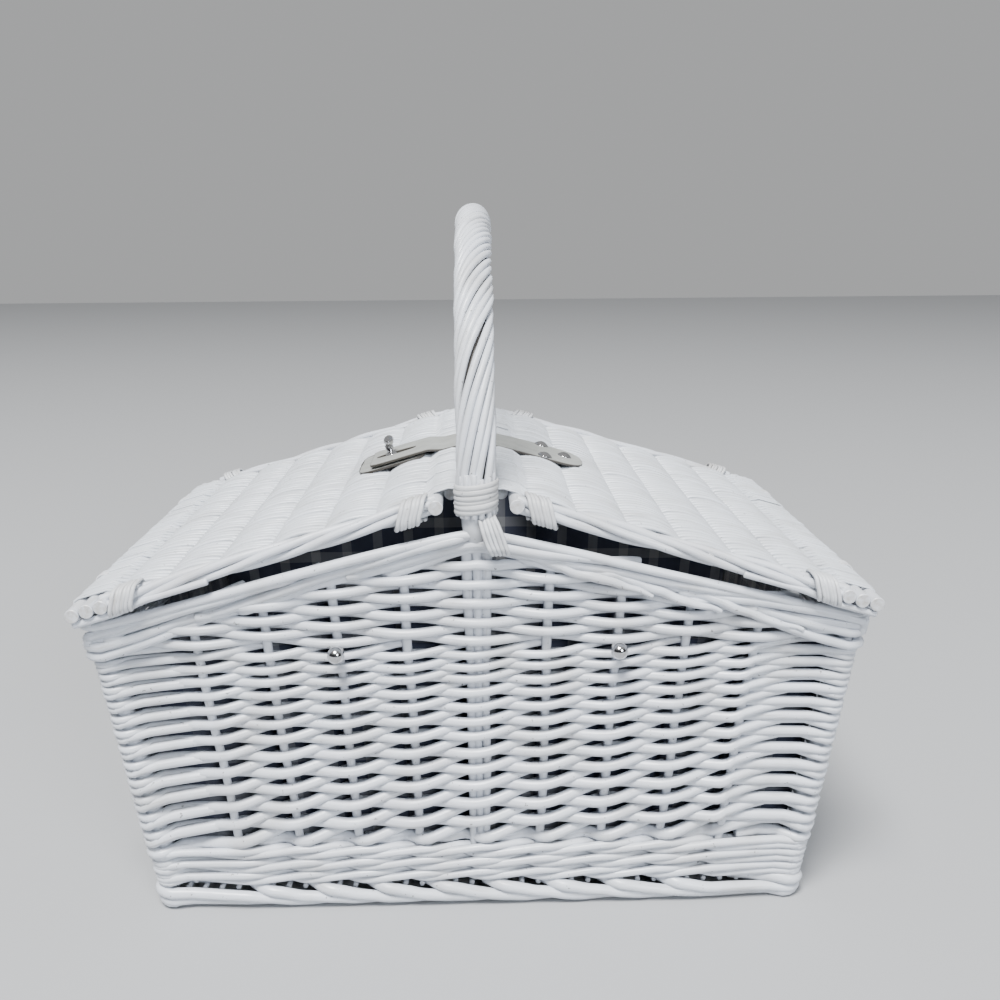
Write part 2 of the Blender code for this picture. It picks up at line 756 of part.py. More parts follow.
def makeStrap():
    """The strap: its riveted end on the right lid and its free end, which turns at the flex line."""
    anchorStations = [(*overLid(STRAP_FLEX_LINE + GAP, strapUnderside), STRAP_HALF_WIDTH)]
    anchorStations += tipStations(STRAP_RIVET_END, -1, strapUnderside)
    anchor = strapStrip("strap_anchor", anchorStations, rightLid, rightHinge)
    crest = overLid(STRAP_BEND_REACH, strapUnderside)
    stations = [(*overLid(STRAP_FLEX_LINE - GAP, strapUnderside), STRAP_HALF_WIDTH)]
    stations.append((*crest, STRAP_HALF_WIDTH))
    stations.append((0, crest[1] + STRAP_CROWN, STRAP_HALF_WIDTH))
    stations.append((-crest[0], crest[1], STRAP_HALF_WIDTH))
    stations.append((*overLid(-1.5 * STRAP_BEND_REACH, strapUnderside), STRAP_HALF_WIDTH))
    patchEnd = LOCK_OFFSET - PATCH_LENGTH / 2 - 2 * STRAP_THICKNESS
    stations.append((*overLid(-patchEnd, lockStrapUnderside), STRAP_HALF_WIDTH))
    stations += tipStations(-STRAP_SLOT_END, 1, lockStrapUnderside)
    tongue = strapStrip("strap_tongue", stations[::-1], strapFlex, (flexX, 0, flexZ))
    slot = flatShape(
        "slot_cutter",
        [stadium((SLOT_LENGTH - SLOT_WIDTH) / 2, SLOT_WIDTH / 2, 6)],
        10 * STRAP_THICKNESS,
        None,
        leftSlope,
        (alongLid(LOCK_OFFSET), 0, lockStrapUnderside),
        (0, 0, math.radians(90)),
    )
    cut(tongue, slot)

    # three dome rivets through the strap and the lid
    headFoot = strapUnderside + STRAP_THICKNESS + GAP
    tail = -LID_THICKNESS / 2 - GAP
    profile = []
    for step in range(5):
        angle = math.radians(90) * step / 4
        profile.append(
            (RIVET_HEAD_RADIUS * math.sin(angle), headFoot + RIVET_HEAD_HEIGHT * math.cos(angle))
        )
    profile += [
        (RIVET_SHANK_RADIUS, headFoot),
        (RIVET_SHANK_RADIUS, tail),
        (RIVET_HEAD_RADIUS, tail),
        (RIVET_HEAD_RADIUS, tail - RIVET_WASHER_THICKNESS),
        (0, tail - RIVET_WASHER_THICKNESS),
    ]
    for count, (x, y) in enumerate(RIVET_PLACES):
        where = (alongLid(x), -y, 0)
        turned("strap_rivet_%d" % (count + 1), profile, 12, "nickel", rightSlope, where)
        holeName = "rivet_hole_%d" % (count + 1)
        hole = cylinder(holeName, RIVET_SHANK_RADIUS + GAP, 4 * LID_THICKNESS, 12, None, rightSlope, where)
        cut(anchor, hole)
        cut(bpy.data.objects["right_lid_panel"], hole)


def makeLock():
    """The leather patch, the lock's oval base with its bore, and the turning bar."""
    along = alongLid(LOCK_OFFSET)
    flatShape(
        "strap_patch",
        [roundedRectangle(PATCH_LENGTH / 2, PATCH_WIDTH / 2, PATCH_LENGTH / 3, 4)],
        PATCH_THICKNESS,
        "leatherette",
        leftSlope,
        (along, 0, strapUnderside + PATCH_THICKNESS / 2),
    )
    baseMiddle = patchTop + GAP + LOCK_BASE_HEIGHT / 2
    base = flatShape(
        "lock_base",
        [stadium((LOCK_BASE_LENGTH - LOCK_BASE_WIDTH) / 2, LOCK_BASE_WIDTH / 2, 5)],
        LOCK_BASE_HEIGHT,
        "nickel",
        leftSlope,
        (along, 0, baseMiddle),
        (0, 0, math.radians(90)),
    )
    mouth = (along, 0, lockBaseTop)
    bore = cylinder(
        "stem_bore", LOCK_STEM_RADIUS + GAP, 2 * (LOCK_STEM_DEPTH + GAP), 12, None, leftSlope, mouth
    )
    cut(base, bore)
    mesh = bpy.data.meshes.new("lock_knob")
    form = bmesh.new()
    bmesh.ops.create_uvsphere(form, u_segments=12, v_segments=8, radius=1.0)
    quarterTurn = Matrix.Rotation(math.radians(90), 3, "X")
    bmesh.ops.rotate(form, cent=(0, 0, 0), matrix=quarterTurn, verts=form.verts)
    bmesh.ops.scale(form, vec=(LOCK_BAR_RADIUS, LOCK_BAR_LENGTH / 2, LOCK_BAR_RADIUS), verts=form.verts)
    bmesh.ops.translate(form, vec=(0, 0, LOCK_BAR_RADIUS + GAP), verts=form.verts)
    form.to_mesh(mesh)
    form.free()
    knob = place("lock_knob", mesh, "nickel", clasp)
    knob.data.shade_smooth()
    stem = cylinder(
        "stem",
        LOCK_STEM_RADIUS,
        LOCK_STEM_DEPTH + LOCK_BAR_RADIUS,
        12,
        None,
        clasp,
        (0, 0, (LOCK_BAR_RADIUS - LOCK_STEM_DEPTH) / 2 + GAP),
    )
    join(knob, stem)


for old in list(bpy.data.objects):
    bpy.data.objects.remove(old, do_unlink=True)

parts = newCollection("picnic_basket")
cutters = newCollection("cutters", hidden=True)
basket = newEmpty("basket", (0, 0, 0))
leftHinge = (-hingeX, 0, hingeZ)
rightHinge = (hingeX, 0, hingeZ)
flexX, flexZ = overLid(STRAP_FLEX_LINE, strapUnderside)
leftLid = newEmpty("left_lid", leftHinge, parent=basket)
rightLid = newEmpty("right_lid", rightHinge, parent=basket)
leftSlope = newEmpty("left_lid_slope", (0, 0, 0), (0, -lidSlope, 0), leftLid)
rightSlope = newEmpty("right_lid_slope", (0, 0, 0), (0, -lidSlope, math.pi), rightLid)
clasp = newEmpty("clasp", (alongLid(LOCK_OFFSET), 0, lockBaseTop), parent=leftSlope)
strapFlex = newEmpty("strap_flex", (flexX - hingeX, 0, flexZ - hingeZ), parent=rightLid)

makeBase()
makeWalls()
makePosts()
hingeLoops = makeHingeLoops()
makeRims()
makeLining()
makeHandle()
makeStuds()
makeLid("left", leftSlope)
makeLid("right", rightSlope)
makeStrap()
makeLock()
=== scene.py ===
import math

import bpy
import numpy as np
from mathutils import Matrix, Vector


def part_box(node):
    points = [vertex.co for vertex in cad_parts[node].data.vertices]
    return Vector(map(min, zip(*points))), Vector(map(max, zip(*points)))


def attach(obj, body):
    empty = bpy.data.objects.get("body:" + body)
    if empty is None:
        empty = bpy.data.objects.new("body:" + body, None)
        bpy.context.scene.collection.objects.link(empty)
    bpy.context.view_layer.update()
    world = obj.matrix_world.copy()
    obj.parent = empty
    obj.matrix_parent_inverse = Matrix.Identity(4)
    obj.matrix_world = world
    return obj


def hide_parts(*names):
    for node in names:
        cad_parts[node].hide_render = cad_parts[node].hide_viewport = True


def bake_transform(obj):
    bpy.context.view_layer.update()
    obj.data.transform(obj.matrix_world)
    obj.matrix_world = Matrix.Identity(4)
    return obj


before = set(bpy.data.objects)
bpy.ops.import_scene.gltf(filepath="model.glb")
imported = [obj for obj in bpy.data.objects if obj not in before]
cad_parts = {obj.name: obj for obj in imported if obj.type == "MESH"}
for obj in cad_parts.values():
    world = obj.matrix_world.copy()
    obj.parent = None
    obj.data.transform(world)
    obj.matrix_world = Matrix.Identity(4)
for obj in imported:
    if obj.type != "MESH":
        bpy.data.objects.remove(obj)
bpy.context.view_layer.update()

rng = np.random.default_rng(11)

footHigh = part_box("foot_border")[1]
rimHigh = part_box("rim_front")[1]
outerRodLow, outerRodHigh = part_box("right_lid_eave_rod_1")
hingeX = (outerRodLow.x + outerRodHigh.x) / 2
hingeZ = (outerRodLow.z + outerRodHigh.z) / 2
edgeRodLow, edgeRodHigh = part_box("right_lid_edge_rod")
ridgeX = (edgeRodLow.x + edgeRodHigh.x) / 2
ridgeZ = (edgeRodLow.z + edgeRodHigh.z) / 2
lidSlope = math.atan2(ridgeZ - hingeZ, hingeX - ridgeX)
lidLength = math.hypot(ridgeZ - hingeZ, hingeX - ridgeX)
lidHalf = outerRodHigh.y

# the basket's own outline, shared by every woven part
outline = {
    "baseHalfLength": footHigh.x,
    "baseHalfDepth": footHigh.y,
    "lengthLean": 0.1235,
    "depthLean": 0.1320,
    "eaveHeight": 0.1790,
    "rimBottomAtCorner": 0.1610,
    "rimBottomAtPeak": 0.2130,
    "peak": rimHigh.z,
}


def halfLength(z):
    return outline["baseHalfLength"] + outline["lengthLean"] * z


def halfDepth(z):
    return outline["baseHalfDepth"] + outline["depthLean"] * z


# ---- mesh helpers


def unit(v):
    return v / np.maximum(np.linalg.norm(v, axis=-1, keepdims=True), 1e-12)


# 0 before the range, 1 after it, and 3t^2 - 2t^3 between
def ease(t):
    t = np.clip(t, 0, 1)
    return t * t * (3 - 2 * t)


# slow wander: three sine waves of random phase for each row, summed
def wander(rows, along, size):
    total = np.zeros((rows, len(along)))
    for waves in (1.3, 2.9, 5.3):
        phase = rng.uniform(0, 2 * math.pi, (rows, 1))
        total += np.sin(2 * math.pi * waves * along[None] + phase) / waves
    return total * size


def addAttribute(mesh, label, values):
    layer = mesh.attributes.new(label, "FLOAT", "POINT")
    layer.data.foreach_set("value", values.astype(np.float32))


# a mesh from one array of quads and one of triangles, each with its own corners' uv
def meshFrom(name, points, quads, triangles, quadUv, triangleUv, tone=None):
    mesh = bpy.data.meshes.new(name)
    mesh.vertices.add(len(points))
    mesh.vertices.foreach_set("co", points.astype(np.float32).ravel())
    corners = np.concatenate([quads.ravel(), triangles.ravel()]).astype(np.int32)
    starts = np.concatenate([np.arange(len(quads)) * 4, len(quads) * 4 + np.arange(len(triangles)) * 3])
    mesh.loops.add(len(corners))
    mesh.loops.foreach_set("vertex_index", corners)
    mesh.polygons.add(len(starts))
    mesh.polygons.foreach_set("loop_start", starts.astype(np.int32))
    mesh.update(calc_edges=True)
    layer = mesh.uv_layers.new(name="run")
    uv = np.concatenate([quadUv.reshape(-1, 2), triangleUv.reshape(-1, 2)]).astype(np.float32)
    layer.data.foreach_set("uv", uv.ravel())
    if tone is not None:
        addAttribute(mesh, "tone", tone)
    mesh.shade_smooth()
    mesh.validate()
    return mesh


# rods: an oval carried along each path, centre + width cos(a) sideways + height sin(a) outwards, with a
# chamfer and a flat disc at both ends; paths is rods x stations x 3
def rodMesh(name, paths, widths, outward, sides=8, heights=None, chamfer=0.25, cutSquare=False):
    paths = np.asarray(paths, float)
    rods, stations = paths.shape[:2]
    widths = np.broadcast_to(widths, (rods, stations))
    heights = widths if heights is None else np.broadcast_to(heights, (rods, stations))
    tangent = unit(np.gradient(paths, axis=1))
    outward = np.broadcast_to(outward, paths.shape)
    ends = np.minimum(widths, heights)[:, [0, -1], None] * chamfer
    centres = np.concatenate(
        [paths[:, :1] - tangent[:, :1] * ends[:, :1], paths, paths[:, -1:] + tangent[:, -1:] * ends[:, 1:]], 1
    )
    tangent = np.concatenate([tangent[:, :1], tangent, tangent[:, -1:]], 1)
    outward = np.concatenate([outward[:, :1], outward, outward[:, -1:]], 1)
    shrink = 1 - chamfer
    widths = np.concatenate([widths[:, :1] * shrink, widths, widths[:, -1:] * shrink], 1)
    heights = np.concatenate([heights[:, :1] * shrink, heights, heights[:, -1:] * shrink], 1)
    side = unit(np.cross(tangent, outward))
    up = np.cross(side, tangent)
    turn = np.arange(sides) * 2 * math.pi / sides
    rings = (
        centres[:, :, None]
        + (widths[..., None] * np.cos(turn))[..., None] * side[:, :, None]
        + (heights[..., None] * np.sin(turn))[..., None] * up[:, :, None]
    )
    count = stations + 2
    points = np.concatenate([rings.reshape(-1, 3), centres[:, [0, -1]].reshape(-1, 3)])
    i = np.arange(sides)
    nextI = (i + 1) % sides
    ring = np.arange(count - 1)[:, None] * sides
    first = (np.arange(rods) * count * sides)[:, None, None]
    quads = np.stack(
        [first + ring + i, first + ring + sides + i, first + ring + sides + nextI, first + ring + nextI], -1
    ).reshape(-1, 4)
    first = first[:, 0]
    last = first + (count - 1) * sides
    pole = rods * count * sides + np.arange(rods)[:, None] * 2 + np.zeros(sides, int)
    triangles = np.concatenate(
        [
            np.stack([pole, first + i, first + nextI], -1).reshape(-1, 3),
            np.stack([pole + 1, last + nextI, last + i], -1).reshape(-1, 3),
        ]
    )
    step = np.linalg.norm(np.diff(centres, axis=1), axis=-1)
    run = np.concatenate([np.zeros((rods, 1)), np.cumsum(step, 1)], 1)
    u0 = np.broadcast_to(i / sides, (rods, count - 1, sides))
    u1 = u0 + 1 / sides
    v0 = np.broadcast_to(run[:, :-1, None], u0.shape)
    v1 = np.broadcast_to(run[:, 1:, None], u0.shape)
    quadUv = np.stack([u0, v0, u0, v1, u1, v1, u1, v0], -1)
    capU = np.broadcast_to(i / sides, (rods, sides))
    startV = np.broadcast_to(run[:, :1], capU.shape)
    endV = np.broadcast_to(run[:, -1:], capU.shape)
    triangleUv = np.concatenate(
        [
            np.stack([capU, startV, capU, startV, capU + 1 / sides, startV], -1).reshape(-1),
            np.stack([capU, endV, capU + 1 / sides, endV, capU, endV], -1).reshape(-1),
        ]
    )
    shade = rng.uniform(0, 1, rods)
    tone = np.concatenate([np.repeat(shade, count * sides), np.repeat(shade, 2)])
    mesh = meshFrom(name, points, quads, triangles, quadUv, triangleUv, tone)
    if cutSquare:
        cut = np.zeros((rods, count, sides))
        cut[:, [0, -1]] = 1
        cut = np.concatenate([cut.ravel(), np.ones(2 * rods)])
        addAttribute(mesh, "cut", cut)
        mesh.set_sharp_from_angle(angle=math.radians(30))
    return mesh


# turned pieces: a profile of (radius, height), from its lower pole to its upper one, swept round an axis
def turnedMesh(name, profile, centre, axis, sides=32):
    profile = np.array(profile, float)
    axis = unit(np.array(axis, float))
    sideways = unit(np.cross(axis, (0.3, 0.9, 0.2)))
    other = np.cross(axis, sideways)
    turn = np.arange(sides) * 2 * math.pi / sides
    ring = np.cos(turn)[:, None] * sideways + np.sin(turn)[:, None] * other
    middle = profile[1:-1]
    points = np.array(centre) + middle[:, None, :1] * ring + middle[:, None, 1:] * axis
    ends = np.array(centre) + profile[[0, -1], 1:] * axis
    count = len(middle)
    i = np.arange(sides)
    nextI = (i + 1) % sides
    row = np.arange(count - 1)[:, None] * sides
    quads = np.stack([row + i, row + nextI, row + sides + nextI, row + sides + i], -1).reshape(-1, 4)
    pole = count * sides + np.zeros(sides, int)
    last = (count - 1) * sides
    triangles = np.concatenate(
        [np.stack([pole, nextI, i], -1), np.stack([pole + 1, last + i, last + nextI], -1)]
    )
    allPoints = np.concatenate([points.reshape(-1, 3), ends])
    flatUv = allPoints[:, :2]
    return meshFrom(name, allPoints, quads, triangles, flatUv[quads], flatUv[triangles])


def addPiece(mesh, material, bodyName, stoodFor=()):
    piece = bpy.data.objects.new(mesh.name, mesh)
    bpy.context.scene.collection.objects.link(piece)
    mesh.materials.append(material)
    if bodyName:
        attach(piece, bodyName)
    if stoodFor:
        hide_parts(*stoodFor)
    return piece


# ---- materials


def addNode(tree, kind, inputs=(), **settings):
    node = tree.nodes.new(kind)
    for key, value in settings.items():
        setattr(node, key, value)
    for key, value in dict(inputs).items():
        if isinstance(value, bpy.types.NodeSocket):
            tree.links.new(value, node.inputs[key])
        else:
            node.inputs[key].default_value = value
    return node


def mixColour(tree, factor, first, second):
    return addNode(tree, "ShaderNodeMix", {0: factor, 6: first, 7: second}, data_type="RGBA").outputs[2]


def maths(tree, operation, *values):
    return addNode(tree, "ShaderNodeMath", dict(enumerate(values)), operation=operation).outputs[0]


def vectorMaths(tree, operation, first, second):
    return addNode(tree, "ShaderNodeVectorMath", {0: first, 1: second}, operation=operation).outputs[0]


def noise(tree, place, scale, detail):
    return addNode(tree, "ShaderNodeTexNoise", {"Vector": place, "Scale": scale, "Detail": detail}).outputs[0]


def attribute(tree, label):
    return addNode(tree, "ShaderNodeAttribute", attribute_name=label).outputs["Fac"]


def objectPlace(tree):
    return addNode(tree, "ShaderNodeTexCoord").outputs["Object"]


def addBump(tree, shader, height, strength, distance):
    bump = addNode(tree, "ShaderNodeBump", {"Height": height, "Strength": strength, "Distance": distance})
    tree.links.new(bump.outputs[0], shader.inputs["Normal"])


def spreadValue(tree, value, low, high, toLow=0.0, toHigh=1.0):
    inputs = {"Value": value, "From Min": low, "From Max": high, "To Min": toLow, "To Max": toHigh}
    return addNode(tree, "ShaderNodeMapRange", inputs).outputs[0]


def newGroup(name, inputs, outputs):
    group = bpy.data.node_groups.new(name, "ShaderNodeTree")
    for label, kind, value in inputs:
        group.interface.new_socket(label, in_out="INPUT", socket_type=kind).default_value = value
    for label, kind in outputs:
        group.interface.new_socket(label, in_out="OUTPUT", socket_type=kind)
    return group, group.nodes.new("NodeGroupInput").outputs, group.nodes.new("NodeGroupOutput").inputs


# brushed paint on a rod: long fibre streaks follow the rod, patches and specks follow the basket, and
# each rod has its own shade; Height is the streaks plus a fine ripple
def paintCoatGroup():
    group, given, made = newGroup(
        "paintCoat",
        [
            ("Paint", "NodeSocketColor", (0.7, 0.74, 0.8, 1)),
            ("Under", "NodeSocketColor", (0.4, 0.38, 0.35, 1)),
            ("Streaks", "NodeSocketFloat", 0.5),
            ("Specks", "NodeSocketFloat", 0.5),
            ("Patches", "NodeSocketFloat", 0.5),
            ("Gloss", "NodeSocketFloat", 0.4),
        ],
        [("Colour", "NodeSocketColor"), ("Roughness", "NodeSocketFloat"), ("Height", "NodeSocketFloat")],
    )
    place = objectPlace(group)
    run = addNode(group, "ShaderNodeUVMap", uv_map="run").outputs[0]
    shade = attribute(group, "tone")
    stretched = vectorMaths(group, "MULTIPLY", run, (9.0, 45.0, 1.0))
    ownPlace = maths(group, "MULTIPLY", shade, 37.0)
    ownVector = addNode(group, "ShaderNodeCombineXYZ", {"Z": ownPlace, "X": ownPlace}).outputs[0]
    moved = vectorMaths(group, "ADD", stretched, ownVector)
    fibre = noise(group, moved, 1.0, 4.0)
    patch = noise(group, place, 38.0, 4.0)
    speck = noise(group, place, 420.0, 2.0)
    ripple = noise(group, place, 700.0, 3.0)
    streakMask = spreadValue(group, fibre, 0.56, 0.74)
    streakAmount = maths(group, "MULTIPLY", streakMask, given["Streaks"])
    patchMask = spreadValue(group, patch, 0.50, 0.72)
    patchAmount = maths(group, "MULTIPLY", patchMask, given["Patches"])
    speckMask = spreadValue(group, speck, 0.70, 0.75)
    speckAmount = maths(group, "MULTIPLY", speckMask, given["Specks"])
    shadeAmount = spreadValue(group, shade, 0.0, 1.0, 0.0, 0.16)
    duller = mixColour(group, shadeAmount, given["Paint"], given["Under"])
    patched = mixColour(group, patchAmount, duller, given["Under"])
    streaked = mixColour(group, streakAmount, patched, given["Under"])
    cut = attribute(group, "cut")
    grainMask = spreadValue(group, speck, 0.35, 0.65, 0.15, 0.85)
    cutAmount = maths(group, "MULTIPLY", grainMask, cut)
    streaked = mixColour(group, cutAmount, streaked, given["Under"])
    dark = addNode(group, "ShaderNodeRGB")
    dark.outputs[0].default_value = (0.06, 0.055, 0.05, 1)
    group.links.new(mixColour(group, speckAmount, streaked, dark.outputs[0]), made["Colour"])
    rougher = spreadValue(group, patch, 0.3, 0.8, -0.08, 0.12)
    group.links.new(maths(group, "ADD", given["Gloss"], rougher), made["Roughness"])
    fine = maths(group, "MULTIPLY", ripple, 0.35)
    group.links.new(maths(group, "ADD", fine, fibre), made["Height"])
    return group


def newMaterial(name):
    material = bpy.data.materials.new(name)
    material.use_nodes = True
    return material, material.node_tree, material.node_tree.nodes["Principled BSDF"]


def paintMaterial(name, look, group):
    material, tree, shader = newMaterial(name)
    coat = tree.nodes.new("ShaderNodeGroup")
    coat.node_tree = group
    for key, value in look["coat"].items():
        coat.inputs[key].default_value = value
    tree.links.new(coat.outputs["Colour"], shader.inputs["Base Color"])
    tree.links.new(coat.outputs["Roughness"], shader.inputs["Roughness"])
    addBump(tree, shader, coat.outputs["Height"], look["bump"], look["depth"])
    shader.inputs["Specular IOR Level"].default_value = look["shine"]
    return material


willowLook = {
    "coat": {
        "Paint": (0.60, 0.632, 0.69, 1),
        "Under": (0.36, 0.35, 0.33, 1),
        "Streaks": 0.5,
        "Specks": 0.7,
        "Patches": 0.42,
        "Gloss": 0.33,
    },
    "bump": 0.35,
    "depth": 0.0006,
    "shine": 0.5,
}
strandLook = {
    "coat": {
        "Paint": (0.585, 0.622, 0.675, 1),
        "Under": (0.34, 0.345, 0.34, 1),
        "Streaks": 0.45,
        "Specks": 0.45,
        "Patches": 0.35,
        "Gloss": 0.34,
    },
    "bump": 0.25,
    "depth": 0.0004,
    "shine": 0.5,
}
caneLook = {
    "coat": {
        "Paint": (0.58, 0.60, 0.63, 1),
        "Under": (0.30, 0.28, 0.25, 1),
        "Streaks": 0.65,
        "Specks": 0.6,
        "Patches": 0.45,
        "Gloss": 0.42,
    },
    "bump": 0.45,
    "depth": 0.0006,
    "shine": 0.5,
}

# near-black coat for the handle's core: painted shade, so the slits between the rope strands read dark
coreShadeLook = {
    "coat": {
        "Paint": (0.060, 0.055, 0.050, 1),
        "Under": (0.16, 0.15, 0.14, 1),
        "Streaks": 0.5,
        "Specks": 0.3,
        "Patches": 0.3,
        "Gloss": 0.5,
    },
    "bump": 0.3,
    "depth": 0.0004,
    "shine": 0.3,
}

paintCoat = paintCoatGroup()
paintedWillow = paintMaterial("paintedWillow", willowLook, paintCoat)
paintedStrand = paintMaterial("paintedStrand", strandLook, paintCoat)
paintedCane = paintMaterial("paintedCane", caneLook, paintCoat)
paintedShadeCore = paintMaterial("paintedShadeCore", coreShadeLook, paintCoat)
print("paint finishes ready")


def addWillow(mesh, stoodFor=(), bodyName="basket"):
    return addPiece(mesh, paintedWillow, bodyName, stoodFor)


def addCane(mesh, node, bodyName="basket"):
    return addPiece(mesh, paintedCane, bodyName, [node])


def endName(front):
    return "front" if front else "back"


def sideName(right):
    return "right" if right else "left"



leatherLook = {
    "colour": (0.33, 0.342, 0.33, 1),
    # near-black for cut edges: the strap's dark edge colour, and painted shade on the walls of the slot
    "edge": (0.05, 0.045, 0.04, 1),
    "grain": 1500.0,
    "roughness": 0.46,
    "bump": 0.25,
    "depth": 0.0003,
}


# leatherette: a pebbled grain of Voronoi cells over a soft mottle
def leatherMaterial(name, look):
    material, tree, shader = newMaterial(name)
    place = objectPlace(tree)
    grain = addNode(tree, "ShaderNodeTexVoronoi", {"Vector": place, "Scale": look["grain"]})
    cells = grain.outputs["Distance"]
    mottle = noise(tree, place, 90.0, 5.0)
    dull = tuple(c * 0.82 for c in look["colour"][:3]) + (1,)
    base = mixColour(tree, spreadValue(tree, mottle, 0.35, 0.7), look["colour"], dull)
    # cut bands take the near-black edge colour: the strap's own dark edge, and painted shade where the bands
    # line the slot
    cut = attribute(tree, "cutEdge")
    tree.links.new(mixColour(tree, cut, base, look["edge"]), shader.inputs["Base Color"])
    rough = spreadValue(tree, mottle, 0.3, 0.7, look["roughness"] - 0.06, look["roughness"] + 0.1)
    tree.links.new(rough, shader.inputs["Roughness"])
    addBump(tree, shader, cells, look["bump"], look["depth"])
    return material


nickelLook = {"colour": (0.58, 0.58, 0.59, 1), "roughness": 0.09, "bump": 0.05, "depth": 0.0001}


# plated metal: bright, with faint smudges in its gloss and a few fine scratches
def nickelMaterial(name, look):
    material, tree, shader = newMaterial(name)
    place = objectPlace(tree)
    smudge = noise(tree, place, 260.0, 3.0)
    stretched = vectorMaths(tree, "MULTIPLY", place, (4000.0, 500.0, 900.0))
    scratch = noise(tree, stretched, 1.0, 2.0)
    tarnish = tuple(c * 0.72 for c in look["colour"][:3]) + (1,)
    tone = mixColour(tree, spreadValue(tree, smudge, 0.45, 0.75), look["colour"], tarnish)
    tree.links.new(tone, shader.inputs["Base Color"])
    shader.inputs["Metallic"].default_value = 1.0
    rough = spreadValue(tree, smudge, 0.3, 0.7, look["roughness"] * 0.7, look["roughness"] * 1.7)
    tree.links.new(rough, shader.inputs["Roughness"])
    addBump(tree, shader, scratch, look["bump"], look["depth"])
    return material


liningLook = {
    "navy": (0.030, 0.038, 0.070, 1),
    "grey": (0.22, 0.23, 0.25, 1),
    "check": 0.024,
    "band": 0.30,
    "threads": 1700.0,
    "bump": 0.3,
    "depth": 0.0002,
}


# woven check: bands of grey thread each way over navy, half grey in one band and full grey where two
# cross; its height is the product of a sine along each thread direction
def liningMaterial(name, look):
    material, tree, shader = newMaterial(name)
    cloth = addNode(tree, "ShaderNodeUVMap", uv_map="run").outputs[0]
    split = addNode(tree, "ShaderNodeSeparateXYZ", {0: cloth}).outputs
    masks, heights = [], []
    for axis in (0, 1):
        part = maths(tree, "FRACT", maths(tree, "DIVIDE", split[axis], look["check"]))
        masks.append(maths(tree, "LESS_THAN", part, look["band"]))
        wave = maths(tree, "MULTIPLY", split[axis], look["threads"] * 6.283)
        heights.append(maths(tree, "SINE", wave))
    half = maths(tree, "MULTIPLY", maths(tree, "ADD", *masks), 0.5)
    tree.links.new(mixColour(tree, half, look["navy"], look["grey"]), shader.inputs["Base Color"])
    shader.inputs["Roughness"].default_value = 0.9
    shader.inputs["Sheen Weight"].default_value = 0.3
    weave = maths(tree, "MULTIPLY", *heights)
    addBump(tree, shader, weave, look["bump"], look["depth"])
    return material


leatherette = leatherMaterial("leatherette", leatherLook)
nickel = nickelMaterial("nickel", nickelLook)
checkedLining = liningMaterial("checkedLining", liningLook)
print("leather, metal and lining finishes ready")

# ---- walls: stakes all round, and the rods woven between them

stakes = {
    "longWall": 0.18 * np.arange(-4, 5),
    "endWall": np.array([-0.65, -0.39, -0.13, 0.13, 0.39, 0.65]),
    "inset": 0.0056,
    "postInset": 0.0088,
    "postRadius": 0.0046,
    "halfWidth": 0.0024,
    "halfDepth": 0.0016,
    "groupSpread": (0.0031, 0.0048),
    "groupHalfWidth": (0.0018, 0.0028),
}
stationsPerGap = 12
straightSteps = np.arange(stationsPerGap) / stationsPerGap
cornerSteps = np.array([0.0, 0.09, 0.19, 0.29, 0.37, 0.43, 0.50, 0.57, 0.63, 0.72, 0.82, 0.91])
# swing of a rod through a corner gap: one that was outside the last stake, and one that was inside it
outsideSwing = np.array([1.0, 0.3, -1.1, -1.3, 0.0, 0.0, 0.0, 0.0, 0.2, 0.9, 0.8, -0.1])
insideSwing = np.array([-1.0, 0.0, 0.8, 0.8, 0.2, 0.0, 0.0, 0.0, 0.0, -1.3, -1.2, -0.1])
# its climb there, before the post and after it, less the post's own level
outsideClimb = np.array([0.0, 0.46, 0.64, 0.42, 0.0, 0.0, 0.0, 0.0, 0.12, 0.48, 0.72, 0.78])
insideClimb = np.array([0.8, 0.78, 0.72, 0.62, 0.5, 0.5, 0.5, 0.5, 0.5, 0.56, 0.70, 0.88])
cornerLevel = [0.26, 0.10, 0.26, -0.02]  # how far a rod has climbed when it is round each post
stakeX = np.concatenate([stakes["longWall"], np.ones(6), -stakes["longWall"], -np.ones(6)])
stakeY = np.concatenate([-np.ones(9), stakes["endWall"], np.ones(9), -stakes["endWall"]])
stakeNormal = np.repeat(np.array([[0, -1], [1, 0], [0, 1], [-1, 0]]), [9, 6, 9, 6], axis=0)
stakeCount = len(stakeX)


